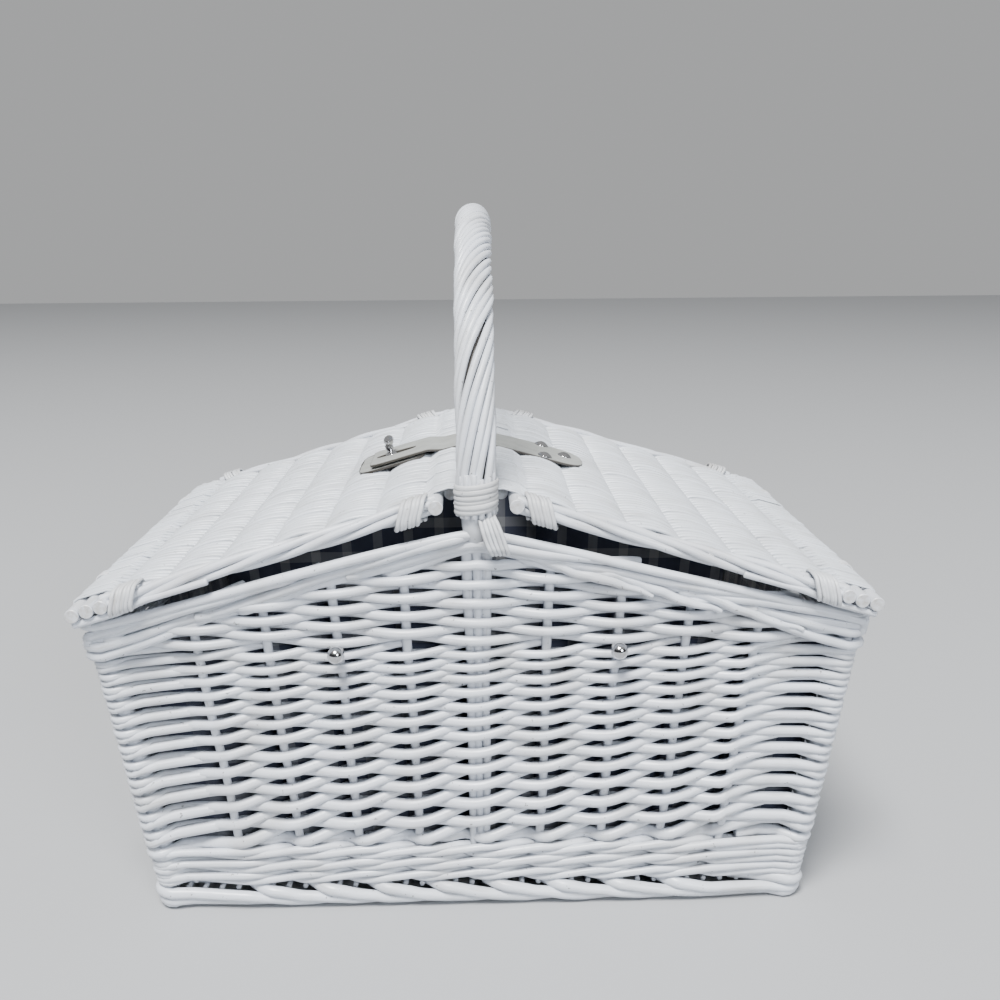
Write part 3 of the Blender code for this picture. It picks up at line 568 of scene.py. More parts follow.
# one lap of the basket, anticlockwise from the front's left stake: each station has a place as a share of
# the half sizes, an offset, the wall's outward direction, and at corners a direction round the post
def lapStations():
    keys = ("share", "offset", "normal", "post", "step", "hold", "level", "outside", "inside")
    lap = {key: [] for key in keys}
    corners = 0
    for k in range(stakeCount):
        after = (k + 1) % stakeCount
        here, there = np.array([stakeX[k], stakeY[k]]), np.array([stakeX[after], stakeY[after]])
        n0, n1 = stakeNormal[k], stakeNormal[after]
        corner = (n0 != n1).any()
        t = (cornerSteps if corner else straightSteps)[:, None]
        blank = np.zeros(stationsPerGap)
        if corner:
            into, away = np.clip(t / 0.37, 0, 1), np.clip((t - 0.63) / 0.37, 0, 1)
            tip = n0 + n1
            lap["share"].append(here + (tip - here) * into + (there - tip) * away)
            inside = -tip * stakes["postInset"]
            ends = n0 * (1 - into) + n1 * away
            lap["offset"].append(inside * (into - away) - ends * stakes["inset"])
            turn = np.clip((t - 0.37) / 0.26, 0, 1) * math.pi / 2
            lap["normal"].append(np.where(t < 0.5, n0, n1))
            hold = ease((t - 0.26) / 0.11) * (1 - ease((t - 0.63) / 0.11))
            lap["post"].append((n0 * np.cos(turn) + n1 * np.sin(turn)) * hold)
            lap["hold"].append(blank + 1)
            lap["level"].append(cornerLevel[corners] * (ease(t / 0.34) * (1 - ease((t - 0.60) / 0.42)))[:, 0])
            lap["outside"].append(outsideSwing)
            lap["inside"].append(insideSwing)
            corners += 1
        else:
            lap["share"].append(here + (there - here) * t)
            lap["offset"].append(np.broadcast_to(-n0 * stakes["inset"], (stationsPerGap, 2)))
            lap["normal"].append(np.broadcast_to(n0, (stationsPerGap, 2)))
            lap["post"].append(np.zeros((stationsPerGap, 2)))
            lap["hold"].append(blank)
            lap["level"].append(blank)
            lap["outside"].append(np.cos(math.pi * t[:, 0]))
            lap["inside"].append(-np.cos(math.pi * t[:, 0]))
        lap["step"].append(t[:, 0])
    return {key: np.concatenate(value) for key, value in lap.items()}


lap = lapStations()


# points at a height and outward swing round the lap: share of the half sizes, plus the offset, plus the
# swing along the wall's outward direction, which gives way to the post's and rod's radius at a corner
def onLap(index, height, swing, radius):
    index = index % len(lap["step"])
    reach = np.stack([halfLength(height), halfDepth(height)], -1)
    post = lap["post"][index]
    free = 1 - np.linalg.norm(post, axis=-1)
    flat = lap["share"][index] * reach + lap["offset"][index]
    flat = flat + lap["normal"][index] * (swing * free)[..., None]
    flat = flat + post * (stakes["postRadius"] + radius)[..., None]
    return np.concatenate([flat, height[..., None]], -1)


def outwardOnLap(index):
    index = index % len(lap["step"])
    post = lap["post"][index]
    flat = lap["normal"][index] * (1 - np.linalg.norm(post, axis=-1))[..., None] + post
    return np.concatenate([unit(flat), np.full(flat.shape[:-1] + (1,), 0.12)], -1)


# a running mean along each row with weights 1 2 3 2 1
def blurred(values):
    padded = np.pad(values, ((0, 0), (2, 2)), "edge")
    return sum(w * padded[:, i : i + values.shape[1]] for i, w in enumerate((1, 2, 3, 2, 1))) / 9


frenchRand = {
    "firstRow": 0.0428,
    "rows": 13,
    "pitchLow": 0.0121,
    "pitchDrop": 0.00046,
    "radiusLow": 0.0034,
    "radiusDrop": 0.000095,
    "swing": 0.0036,
    "climbAt": ([0, 0.06, 0.25, 0.42, 0.5, 0.7, 1], [0, 0.03, 0.34, 0.68, 0.80, 0.93, 1]),
    "dip": 0.05,
}


# French randing: rod n is outside stake n and inside the next, climbing one row for every two stakes;
# in a stroke the climb follows climbAt, flat across the stake and then an even rise to its right; at a
# corner the climb waits at the corner's level while the rod is round the post
def weaveFrenchRand(spec):
    first, last = -stationsPerGap + 1, (2 * spec["rows"] - 1) * stationsPerGap + 1
    count = np.arange(first, last)
    starts = np.arange(stakeCount)[:, None]
    index = starts * stationsPerGap + count
    place = index % len(lap["step"])
    q = index // stationsPerGap - starts + lap["step"][place]
    row = np.floor(q / 2)
    f = q / 2 - row
    second = f >= 0.5
    climb = np.interp(f, *spec["climbAt"])
    step = (index % stationsPerGap).astype(int)
    cornerClimb = lap["level"][place] + np.where(second, insideClimb[step], outsideClimb[step])
    climb = np.where(lap["hold"][place] > 0, cornerClimb, climb)
    pitch = spec["pitchLow"] - spec["pitchDrop"] * (row + f)
    halfDrop = spec["pitchDrop"] / 2
    base = spec["firstRow"] + (spec["pitchLow"] + halfDrop) * row - halfDrop * row**2
    away = np.minimum(f, 1 - f)
    dip = spec["dip"] * pitch * np.exp(-((away / 0.14) ** 2)) * (1 - lap["hold"][place])
    along = count / len(count)
    height = blurred(base + pitch * climb - dip) + wander(stakeCount, along, 0.00045)
    radius = (spec["radiusLow"] - spec["radiusDrop"] * row) * (1 + wander(stakeCount, along, 0.05))
    radius = radius * (1 - 0.20 * np.linalg.norm(lap["post"][place], axis=-1))
    beat = np.where(second, lap["inside"][place], lap["outside"][place])
    beat = blurred(np.where((row < 0) & (beat > 0), -1.2, beat))
    swing = beat * (spec["swing"] * 0.55 + radius * 0.5)
    paths = onLap(index, height, swing, radius)
    return rodMesh("french_rand", paths, radius, outwardOnLap(index), 8)


walls = ("front", "back", "left", "right")
addWillow(weaveFrenchRand(frenchRand), ["siding_" + wall for wall in walls])
print("French randing woven")

gableRand = {
    "firstRow": 0.1655,
    "rows": 9,
    "pitch": 0.0050,
    "radius": 0.00262,
    "swing": 0.0034,
    "dip": 0.0006,
}


# rods made for the front wall; those of the back wall are turned half round
def onLongWall(x, y, height, front):
    sign = 1 if front else -1
    return np.stack([x * sign, y * sign, height], -1)


# plain randing in the gables: a row swings outside every other stake, the next row outside the rest, and
# the upper rows bow up towards the ridge
def weaveGableRand(spec, front):
    row = np.arange(spec["rows"])[:, None]
    level = spec["firstRow"] + spec["pitch"] * row
    rise = outline["rimBottomAtPeak"] - outline["rimBottomAtCorner"]
    reach = np.clip(1 - (level - 0.009 - outline["rimBottomAtCorner"]) / rise, 0.16, 0.94)
    t = np.linspace(-1, 1, 150)[None]
    share = t * reach
    q = share / 0.18
    bow = 0.5 * (row / spec["rows"]) ** 1.3
    height = level + 0.006 * bow - bow * 0.2 * np.abs(share) * 0.2
    height = height - spec["dip"] * np.cos(math.pi * (q + row)) + wander(spec["rows"], t[0], 0.0003)
    swing = spec["swing"] * np.cos(math.pi * (q + row))
    radius = spec["radius"] * (1 + wander(spec["rows"], t[0], 0.05))
    x = share * halfLength(height)
    y = -(halfDepth(height) - stakes["inset"] + swing)
    outward = np.array([0, -1 if front else 1, 0.13])
    return rodMesh("gable_rand_" + endName(front), onLongWall(x, y, height, front), radius, outward, 8)


for isFront in (True, False):
    addWillow(weaveGableRand(gableRand, isFront))


# upright stakes: straight ovals that lean with the wall, three side by side where the handle's leg is
def raiseStakes():
    shares, normals, tops, sides = [], [], [], []
    rise = outline["rimBottomAtPeak"] - outline["rimBottomAtCorner"]
    for k in range(stakeCount):
        longWall = stakeNormal[k][1] != 0
        middle = longWall and abs(stakeX[k]) < 0.01
        top = 0.170
        if longWall:
            top = outline["rimBottomAtCorner"] + rise * (1 - abs(stakeX[k])) + 0.006
        for shift in (-1, 0, 1) if middle else (0,):
            shares.append((stakeX[k], stakeY[k]))
            normals.append(stakeNormal[k])
            tops.append(top)
            sides.append(shift)
    shares, normals = np.array(shares)[:, None], np.array(normals, float)[:, None]
    t = np.linspace(0, 1, 24)
    height = 0.014 + (np.array(tops)[:, None] - 0.014) * t
    reach = np.stack([halfLength(height), halfDepth(height)], -1)
    flat = shares * reach - normals * stakes["inset"]
    low, high = stakes["groupSpread"]
    flat[..., 0] += np.array(sides)[:, None] * (low + (high - low) * t)
    flat[..., 0] += wander(len(flat), t, 0.0005) * (normals[..., 1] != 0)
    paths = np.concatenate([flat, height[..., None]], -1)
    outward = np.concatenate([normals, np.zeros((len(normals), 1, 1))], -1)
    grouped = (np.abs(shares[..., 0]) < 0.01) & (normals[..., 1] != 0)
    thin, thick = stakes["groupHalfWidth"]
    wide = np.where(grouped, thin + (thick - thin) * t, stakes["halfWidth"])
    wide = wide * (1 + wander(len(flat), t, 0.04))
    return rodMesh("stakes", paths, wide, outward, 8, stakes["halfDepth"])


addWillow(raiseStakes())


# corner posts: fat stakes under the turns of the weave
def raisePosts():
    t = np.linspace(0, 1, 12)
    height = np.broadcast_to(0.020 + 0.146 * t, (4, 12))
    signs = np.array([[-1, -1], [1, -1], [1, 1], [-1, 1]])[:, None]
    reach = np.stack([halfLength(height), halfDepth(height)], -1)
    paths = np.concatenate([signs * (reach - stakes["postInset"]), height[..., None]], -1)
    return rodMesh("corner_posts", paths, stakes["postRadius"], np.array([1.0, 0.3, 0]), 12)


addWillow(raisePosts(), ["corner_post_%s_%s" % (end, side) for end in walls[:2] for side in walls[2:]])

waling = {
    "firstRow": 0.0186,
    "rows": 3,
    "pitch": 0.0083,
    "lift": 0.57,
    "radius": 0.00235,
    "swing": 0.0042,
    "seam": 19,
    "swingAt": ([0, 0.12, 0.42, 0.667, 0.86, 1], [0.75, 1, 1, -0.75, -0.75, 0.75]),
    "liftAt": ([0, 0.333, 0.55, 0.8, 1], [-0.5, 0.5, 0.62, -0.3, -0.5]),
}


# three-rod waling: each rod runs outside two stakes and inside one, low at the first and high at the
# second; the swing and the lift are both smooth curves through those three places
def weaveWaling(spec):
    total = stakeCount * stationsPerGap
    rods = np.arange(3 * spec["rows"])[:, None]
    row, thread = rods // 3, rods % 3
    count = np.arange(-4, total + 5)[None]
    index = count + spec["seam"] * stationsPerGap + 0 * rods
    s = index // stationsPerGap + lap["step"][index % total]
    phase = ((s + thread + row) % 3) / 3
    swing = blurred(spec["swing"] * np.interp(phase, *spec["swingAt"]))
    lift = blurred(np.interp(phase, *spec["liftAt"]))
    ends = 1 - ease((np.minimum(count - count[0, 0], count[0, -1] - count)) / 6)
    swing = swing * (1 - ends) - 0.006 * ends
    along = count[0] / total
    height = spec["firstRow"] + spec["pitch"] * (row + spec["lift"] * lift)
    height = height + wander(len(rods), along, 0.0006)
    radius = spec["radius"] * (1 + wander(len(rods), along, 0.08))
    paths = onLap(index, height, swing, radius)
    return rodMesh("waling", paths, radius, outwardOnLap(index), 8)


addWillow(weaveWaling(waling), ["wale_band"])

footBorder = {
    "radius": 0.0034,
    "length": 2.6,
    "heightAt": (
        [-0.25, 0.0, 0.25, 0.6, 1.1, 2.0, 2.6],
        [0.0128, 0.0122, 0.0108, 0.0080, 0.0056, 0.0036, 0.0036],
    ),
    "swingAt": ([-0.25, -0.06, 0.1, 1.4, 2.0, 2.6], [-0.004, 0.0045, 0.0062, 0.0050, 0.0022, -0.002]),
}


# rolled foot border: a rod starts inside above every stake, comes out over the edge, slants down to its
# right under the next two and goes back in
def rollFoot(spec):
    begin = (np.arange(stakeCount)[:, None] + 0.35) * stationsPerGap
    begin = begin.astype(int)
    count = np.arange(-3, int(spec["length"] * stationsPerGap))[None]
    index = begin + count
    tau = count / stationsPerGap + 0 * index
    rods = len(begin)
    height = np.interp(tau, *spec["heightAt"]) + wander(rods, count[0] / 30, 0.0004)
    swing = np.interp(tau, *spec["swingAt"])
    radius = spec["radius"] * (1 - 0.10 * tau) * (1 + wander(rods, count[0] / 30, 0.05))
    height = np.maximum(height, radius + 0.0001)
    paths = onLap(index, height, blurred(swing), radius * 0.4 + 0.002)
    return rodMesh("foot_rods", paths, radius, outwardOnLap(index), 10, None, 0.4)


addWillow(rollFoot(footBorder), ["foot_border"])

baseWeave = {"sticks": 7, "stickRadius": 0.0024, "pitch": 0.0047, "radius": 0.0016, "height": 0.0128}


# base: long sticks, and thinner rods woven across them whose bends show at the edge
def weaveBase(spec):
    halfX, halfY = halfLength(0.013) - 0.008, halfDepth(0.013) - 0.008
    sticks = np.linspace(-halfY + 0.004, halfY - 0.004, spec["sticks"])
    t = np.linspace(-1, 1, 20)
    paths = np.stack(
        [
            np.broadcast_to(t * halfX, (len(sticks), 20)),
            np.broadcast_to(sticks[:, None], (len(sticks), 20)),
            np.full((len(sticks), 20), spec["height"]),
        ],
        -1,
    )
    long = rodMesh("base_sticks", paths, spec["stickRadius"], np.array([0, 0, 1.0]), 8)
    xs = np.arange(-halfX + 0.004, halfX - 0.003, spec["pitch"])[:, None]
    y = np.linspace(-halfY - 0.002, halfY + 0.002, 64)[None]
    spacing = sticks[1] - sticks[0]
    beat = np.cos(math.pi * ((y - sticks[0]) / spacing + np.arange(len(xs))[:, None]))
    z = spec["height"] + beat * (spec["radius"] + 0.0011)
    cross = np.stack([xs + 0 * y, y + 0 * xs, z], -1)
    return long, rodMesh("base_weavers", cross, spec["radius"], np.array([0, 0, 1.0]), 6)


baseSticks, baseWeavers = weaveBase(baseWeave)
addWillow(baseSticks, ["base_panel"])
addWillow(baseWeavers)
print("stakes, waling, foot and base woven")

# ---- borders along the top of the walls

gableBorder = {
    "radius": 0.0026,
    "reach": 1.06,
    "spacing": 0.36,
    "proud": 0.0028,
    "tips": (0.22, 0.40, 0.62),
    "tipReach": 0.34,
}


# gable border: long rods lie along the slope in a stack and each climbs evenly from the border's lower
# edge to its crest; on one side short rods come down out of the stack to a cut tip
def layGableBorder(spec, front):
    starts = np.arange(-1.70, 0.86, spec["spacing"])
    starts = starts + rng.uniform(-0.03, 0.03, len(starts))
    reach = spec["reach"] * rng.uniform(0.92, 1.04, len(starts))
    tips = np.array(spec["tips"])
    falling = np.concatenate([np.zeros(len(starts)), np.ones(len(tips))])[:, None]
    starts = np.concatenate([starts, tips - 0.12])[:, None]
    reach = np.concatenate([reach, np.full(len(tips), spec["tipReach"])])[:, None]
    rods = len(starts)
    t = np.linspace(0, 1, 80)[None]
    u = np.clip(starts + reach * t, -1.0, 1.0)
    across = np.where(falling > 0, 0.34 - 0.44 * t**1.3, 0.02 + 0.88 * t)
    ridge = np.sqrt(u**2 + 0.0012) - 0.0006
    rise = outline["rimBottomAtPeak"] - outline["rimBottomAtCorner"]
    low = outline["rimBottomAtCorner"] + 0.0012 + rise * (1 - ridge)
    high = outline["eaveHeight"] - 0.0016 + (outline["peak"] - 0.0010 - outline["eaveHeight"]) * (1 - ridge)
    height = low + (high - low) * across + wander(rods, t[0], 0.0010)
    depth = spec["proud"] - 0.0018 * np.cos(math.pi * t) + wander(rods, t[0], 0.0009) + 0.0016 * falling
    tuck = -0.007 * (1 - ease(t / 0.05)) - 0.009 * ease((t - 0.90) / 0.10) * (1 - falling)
    radius = spec["radius"] * (1.06 - 0.16 * t) * (1 + wander(rods, t[0], 0.07))
    radius = radius * (1 - 0.5 * falling * ease((t - 0.75) / 0.25))
    x = u * (halfLength(height) - 0.003)
    y = -(halfDepth(height) - stakes["inset"] + depth + tuck)
    paths = onLongWall(x, y, height, front)
    keep = (np.abs(np.diff(u, axis=1)) > 1e-6).sum(1) > 12
    outward = np.array([0, -1 if front else 1, 0.13])
    return rodMesh("gable_border_" + endName(front), paths[keep], radius[keep], outward, 8)


for isFront in (True, False):
    addWillow(layGableBorder(gableBorder, isFront), ["rim_" + endName(isFront)])

longBorder = {"spots": (-0.14, 0.30, 0.93), "radius": 0.0025, "turnRadius": 0.0085}


# long border rods: from one end wall, round the corner, up the slope, over the crest and down to the
# other corner, a bundle that shifts slowly within the border's height
def layLongBorder(spec, front):
    spot = np.array(spec["spots"])[:, None]
    rods = len(spot)
    t = np.linspace(-1, 1, 160)[None]
    turn = np.clip((np.abs(t) - 0.90) / 0.06, 0, 1) * math.pi / 2
    u = np.clip(t / 0.90, -1, 1)
    across = spot + (0.98 - spot) * 0.35 * (1 - ease((np.abs(t) - 0.45) / 0.4))
    across = across + 0.05 * np.sin(math.pi * 1.5 * t + spot * 9)
    ridge = np.sqrt(u**2 + 0.0015) - 0.0007
    rise = outline["rimBottomAtPeak"] + 0.002 - outline["rimBottomAtCorner"]
    low = outline["rimBottomAtCorner"] + 0.0006 + rise * (1 - ridge)
    high = outline["eaveHeight"] - 0.0012 + (outline["peak"] - 0.0010 - outline["eaveHeight"]) * (1 - ridge)
    height = low + (high - low) * across + wander(rods, (t[0] + 1) / 2, 0.0005)
    corner = spec["turnRadius"]
    after = np.clip(np.abs(t) - 0.96, 0, 1) * 0.6
    x = np.sign(t) * ((halfLength(height) - corner) * np.abs(u) + corner * np.sin(turn))
    inward = corner * (1 - np.cos(turn)) + after
    behind = 0.0040 * (1 - ease((np.abs(t) - 0.55) / 0.30)) * (spot < 0.9)
    y = -(halfDepth(height) - 0.0012 - behind - inward) + 0.0006 * np.cos(math.pi * 2.2 * t + spot * 14)
    radius = spec["radius"] * (1 + wander(rods, (t[0] + 1) / 2, 0.08))
    outward = onLongWall(np.sin(turn) * np.sign(t), -np.cos(turn), 0.1 + 0 * t, front)
    return rodMesh("long_border_" + endName(front), onLongWall(x, y, height, front), radius, outward, 8)


for isFront in (True, False):
    addWillow(layLongBorder(longBorder, isFront))

eaveBorder = {"rods": 5, "radius": 0.0025, "low": 0.1635, "high": 0.1750}


# eave border: rods along each end wall that swap places slowly, as a loose plait
def layEaveBorder(spec, right):
    rods = spec["rods"]
    t = np.linspace(-1, 1, 90)[None]
    spot = np.arange(rods)[:, None] / rods
    turn = 2 * math.pi * (spot + 0.9 * t)
    middle, half = (spec["low"] + spec["high"]) / 2, (spec["high"] - spec["low"]) / 2
    height = middle + half * np.sin(turn) + wander(rods, (t[0] + 1) / 2, 0.0002)
    out = 0.0012 * np.cos(turn)
    y = t * (halfDepth(height) - 0.010)
    x = halfLength(height) - 0.0045 + out
    sign = 1 if right else -1
    paths = np.stack([x * sign, y, height], -1)
    outward = np.array([sign, 0, 0.12])
    return rodMesh("eave_border_" + sideName(right), paths, spec["radius"], outward, 8)


for isRight in (True, False):
    addWillow(layEaveBorder(eaveBorder, isRight), ["rim_" + sideName(isRight)])
print("borders laid")

# ---- lids

lidWeave = {
    "columns": 6,
    "strandPitch": 0.0028,
    "halfWidth": 0.00245,
    "halfHeight": 0.0014,
    "wrapHeight": 0.00072,
    "wrapWidth": 0.55,
    "swing": 0.0034,
    "ribRadius": 0.0020,
}
rodRadius = (outerRodHigh.z - outerRodLow.z) / 2
ridgeRadius = (edgeRodHigh.z - edgeRodLow.z) / 2
eavePitch = 2 * rodRadius + 0.0003
ridgePitch = 2 * ridgeRadius + 0.0003
panelStart = 2 * eavePitch + rodRadius
panelEnd = lidLength - ridgePitch - ridgeRadius
panelHalf = lidHalf - 0.0146
borderMiddle = lidHalf - 0.006


# a lid's own axes: u up the slope from the outer eave rod, y across, v out of the lid
def onLid(u, y, v, right):
    x = -hingeX + u * math.cos(lidSlope) - v * math.sin(lidSlope)
    z = hingeZ + u * math.sin(lidSlope) + v * math.cos(lidSlope)
    return np.stack(np.broadcast_arrays(-x if right else x, y, z), -1)


def lidOut(right):
    return np.array([math.sin(lidSlope) * (1 if right else -1), 0, math.cos(lidSlope)])


def lidName(right):
    return sideName(right) + "_lid"


# lid panel: oval strands lie side by side up the slope, thick over the ribs and flat where they wrap; each
# swings over one rib and under the next as a cosine, its neighbour the other way, and it wraps the outer
# eave rod and the edge of the ridge
def weaveLid(spec, right, parity):
    column = (panelEnd - panelStart) / spec["columns"]
    pitch = spec["strandPitch"]
    ys = np.arange(-panelHalf + 0.0006 + parity * pitch, panelHalf, 2 * pitch)[:, None]
    rows = len(ys)
    ys = ys + rng.normal(0, 0.00015, (rows, 1))
    inner = np.linspace(panelStart + 0.002, panelEnd - 0.002, 9 * spec["columns"] + 1)
    beat = np.cos(math.pi * ((inner - panelStart) / column - 0.5 + parity))
    lift = 0.0004 + spec["swing"] * np.sign(beat) * np.abs(beat) ** 0.7
    wrap = rodRadius + spec["wrapHeight"]
    turn = np.radians([-80, -125, -180, -235])
    eaveU, eaveV = np.cos(turn) * wrap, np.sin(turn) * wrap
    eaveU = np.append(eaveU, [0.0, eavePitch, 2 * eavePitch])
    eaveV = np.append(eaveV, [wrap, wrap, wrap])
    ridgeWrap = ridgeRadius + spec["wrapHeight"]
    turn = np.radians([90, 50, 15, -20, -55, -85])
    ridgeU = np.append([lidLength - ridgePitch], lidLength + np.cos(turn) * ridgeWrap)
    ridgeV = np.append([ridgeWrap], np.sin(turn) * ridgeWrap)
    u = np.concatenate([eaveU, inner, ridgeU])[None]
    v = np.concatenate([eaveV, lift, ridgeV])[None]
    grow = 1 + 0.06 * rng.standard_normal((rows, 1))
    v = v + 0.00022 * rng.standard_normal((rows, 1)) * (np.abs(v) > 0.001)
    wraps = spec["wrapWidth"]
    crest = 0.57 + 0.43 * np.abs(beat)
    crest = np.concatenate([np.full(len(eaveU), wraps), crest, np.full(len(ridgeU), wraps)])
    wide = spec["halfWidth"] * crest * grow
    high = np.where(crest > wraps, spec["halfHeight"], spec["wrapHeight"])
    sway = wander(rows, np.linspace(0, 1, u.shape[1]), 0.00015)
    paths = onLid(u, ys + sway, v, right)
    name = lidName(right) + "_strands_" + ("over" if parity else "under")
    outward = np.cross((0.0, 1.0, 0.0), np.gradient(paths, axis=1)) * (1 if right else -1)
    return rodMesh(name, paths, wide, outward, 8, high, 0.15)


# ribs: straight rods across the lid under and over which the strands go, with cut ends at the borders
def layRibs(spec, right):
    column = (panelEnd - panelStart) / spec["columns"]
    u = panelStart + column * (np.arange(spec["columns"]) + 0.5)[:, None]
    y = np.linspace(-1, 1, 12)[None] * (borderMiddle + 0.001)
    reach = 1 + rng.uniform(-0.006, 0.006, (spec["columns"], 1))
    paths = onLid(u, y * reach, 0, right)
    return rodMesh(lidName(right) + "_ribs", paths, spec["ribRadius"], lidOut(right), 10, None, 0.12, True)


# rods across the lid at its eave and ridge: nearly straight, a little uneven, cut square
def layLidRod(name, u, half, radius, right):
    t = np.linspace(-1, 1, 40)[None]
    sway = wander(1, t[0], 0.00025)
    paths = onLid(u + sway, t * half, wander(1, t[0], 0.00015), right)
    return rodMesh(name, paths, radius * (1 + wander(1, t[0], 0.015)), lidOut(right), 24, None, 0.10, True)


lidBorder = {"rods": 4, "radius": 0.0022, "circle": 0.0031, "lay": 0.150, "under": 0.0019}


# lid side border: long rods laid loosely round the rib ends, each on a flat circle whose angle turns once
# in every lay, and one more rod that runs on under the eave rods
def layLidBorder(spec, right, front):
    u = np.linspace(panelStart - 0.004, panelEnd + 0.004, 110)[None]
    rods = spec["rods"]
    t = np.linspace(0, 1, u.shape[1])
    angle = 2 * math.pi * (np.arange(rods)[:, None] / rods + u / spec["lay"] + 0.12)
    angle = angle + wander(rods, t, 0.22)
    v = 0.0002 + spec["circle"] * 0.85 * np.sin(angle) + wander(rods, t, 0.0004)
    y = borderMiddle - 0.0004 + spec["circle"] * 1.15 * np.cos(angle) + wander(rods, t, 0.0005)
    radius = spec["radius"] * (1 + wander(rods, t, 0.08))
    lowU = np.linspace(-0.002, panelStart + 0.05, 110)[None]
    lowV = -rodRadius - spec["under"] + 0.0022 * ease((lowU - panelStart) / 0.02)
    u = np.concatenate([np.broadcast_to(u, y.shape), lowU])
    v = np.concatenate([v, lowV])
    y = np.concatenate([y, borderMiddle + 0.0030 + 0 * lowU])
    radius = np.concatenate([radius, spec["under"] + 0 * lowU])
    paths = onLid(u, y * (-1 if front else 1), v, right)
    name = lidName(right) + "_side_rods_" + endName(front)
    return rodMesh(name, paths, radius, lidOut(right), 8)


lashing = {
    "turns": 3,
    "spread": 0.0124,
    "lean": 0.0030,
    "halfWidth": 0.00112,
    "halfHeight": 0.00092,
    "across": 0.0071,
    "out": 0.0062,
    "squareness": 3.2,
    "from": 0.0085,
}


# lashing: a doubled strip of cane wound round the side border; across and out follow a rounded square,
# while it moves along by an even step each turn and leans with the sine of the turn
def windLashing(spec, right, front, u0, name):
    t = np.linspace(0, 1, 130)
    turn = 2 * math.pi * spec["turns"] * t[None] + 1.4 * math.pi
    pair = np.array([[-1.0], [1.0]]) * spec["halfWidth"] * 1.06
    c, s = np.cos(turn), np.sin(turn)
    power = spec["squareness"]
    corner = (np.abs(c) ** power + np.abs(s) ** power) ** (-1 / power)
    sign = -1 if front else 1
    along = u0 + (t[None] - 0.5) * spec["spread"] + pair - spec["lean"] * s * sign
    along = along + wander(2, t, 0.0002)
    y = (borderMiddle + 0.0002 + spec["across"] * c * corner) * sign
    paths = onLid(along, y, spec["out"] * s * corner, right)
    centre = onLid(along, borderMiddle * sign, 0, right)
    return rodMesh(name, paths, spec["halfWidth"], unit(paths - centre), 8, spec["halfHeight"])


for isRight in (False, True):
    lid = lidName(isRight)
    for parity in (0, 1):
        stoodFor = [lid + "_panel"] if parity == 0 else []
        addPiece(weaveLid(lidWeave, isRight, parity), paintedStrand, lid, stoodFor)
    addWillow(layRibs(lidWeave, isRight), (), lid)
    for count in range(3):
        name = "%s_eave_stick_%d" % (lid, count + 1)
        rod = layLidRod(name, count * eavePitch, lidHalf, rodRadius, isRight)
        addWillow(rod, ["%s_eave_rod_%d" % (lid, count + 1)], lid)
    ridgeRod = layLidRod(lid + "_ridge_stick", lidLength - ridgePitch, lidHalf, ridgeRadius, isRight)
    addWillow(ridgeRod, [lid + "_ridge_rod"], lid)
    edgeRod = layLidRod(lid + "_edge_stick", lidLength, edgeRodHigh.y, ridgeRadius, isRight)
    addWillow(edgeRod, [lid + "_edge_rod"], lid)
    for isFront in (True, False):
        end = endName(isFront)
        addWillow(layLidBorder(lidBorder, isRight, isFront), [lid + "_border_" + end], lid)
        for where, u0 in (("eave", panelStart + lashing["from"]), ("ridge", panelEnd - lashing["from"])):
            node = "%s_lashing_%s_%s" % (lid, end, where)
            addCane(windLashing(lashing, isRight, isFront, u0, node + "_cane"), node, lid)
print("lids woven")

# ---- handle

wrapLow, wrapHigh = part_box("handle_wrap")
collarLow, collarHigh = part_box("handle_collar_front")
wrapRadius = 0.01025
handle = {
    "strands": 12,
    "strandRadius": 0.00188,
    "circle": 0.0081,
    "coreRadius": 0.0062,
    "twistFoot": 11.0,
    "twistTop": 38.0,
    "hoop": (wrapHigh.y - wrapLow.y) / 2 - wrapRadius,
    "top": wrapHigh.z - wrapRadius,
}


# handle wrap: rods laid round a half circle hoop; a rod's turn round the hoop's middle line is the
# integral of tan(twist) / radius, and the twist grows from each foot to the crown
def ropeHandle(spec):
    hoop = spec["hoop"]
    spring = spec["top"] - hoop
    foot = math.asin(min(0.999, max(0.0, (collarHigh.z - 0.004 - spring)) / hoop))
    angle = np.linspace(foot, math.pi - foot, 220)
    middle = np.stack([0 * angle, -hoop * np.cos(angle), spring + hoop * np.sin(angle)], -1)
    outDirection = np.stack([0 * angle, -np.cos(angle), np.sin(angle)], -1)
    sideDirection = np.array([1.0, 0, 0])
    twist = np.radians(spec["twistFoot"] + (spec["twistTop"] - spec["twistFoot"]) * np.sin(angle) ** 1.5)
    circle = spec["circle"]
    rate = np.tan(twist) / circle
    run = np.gradient(angle) * hoop
    turned = np.cumsum(rate * run)
    turned -= turned[len(turned) // 2]
    start = np.arange(spec["strands"])[:, None] * 2 * math.pi / spec["strands"]
    start = start + rng.normal(0, 0.05, start.shape)
    t = np.linspace(0, 1, len(angle))
    a = start - turned[None] + wander(spec["strands"], t, 0.05)
    r = circle + wander(spec["strands"], t, 0.00035)
    offset = np.cos(a)[..., None] * sideDirection + np.sin(a)[..., None] * outDirection
    paths = middle[None] + offset * r[..., None]
    radius = spec["strandRadius"] * (1 + wander(spec["strands"], t, 0.06))
    core = rodMesh("handle_middle", middle[None], spec["coreRadius"], sideDirection, 16)
    return rodMesh("handle_rope", paths, radius, offset, 8), core


ropeMesh, coreMesh = ropeHandle(handle)
addWillow(ropeMesh, ["handle_wrap"])
# the core's near-black coat is painted shade in the slits between the rope strands
addPiece(coreMesh, paintedShadeCore, "basket", ["handle_core"])

collar = {"turns": 6, "halfHeight": 0.00078, "radius": 0.0100, "lean": 0.0009}


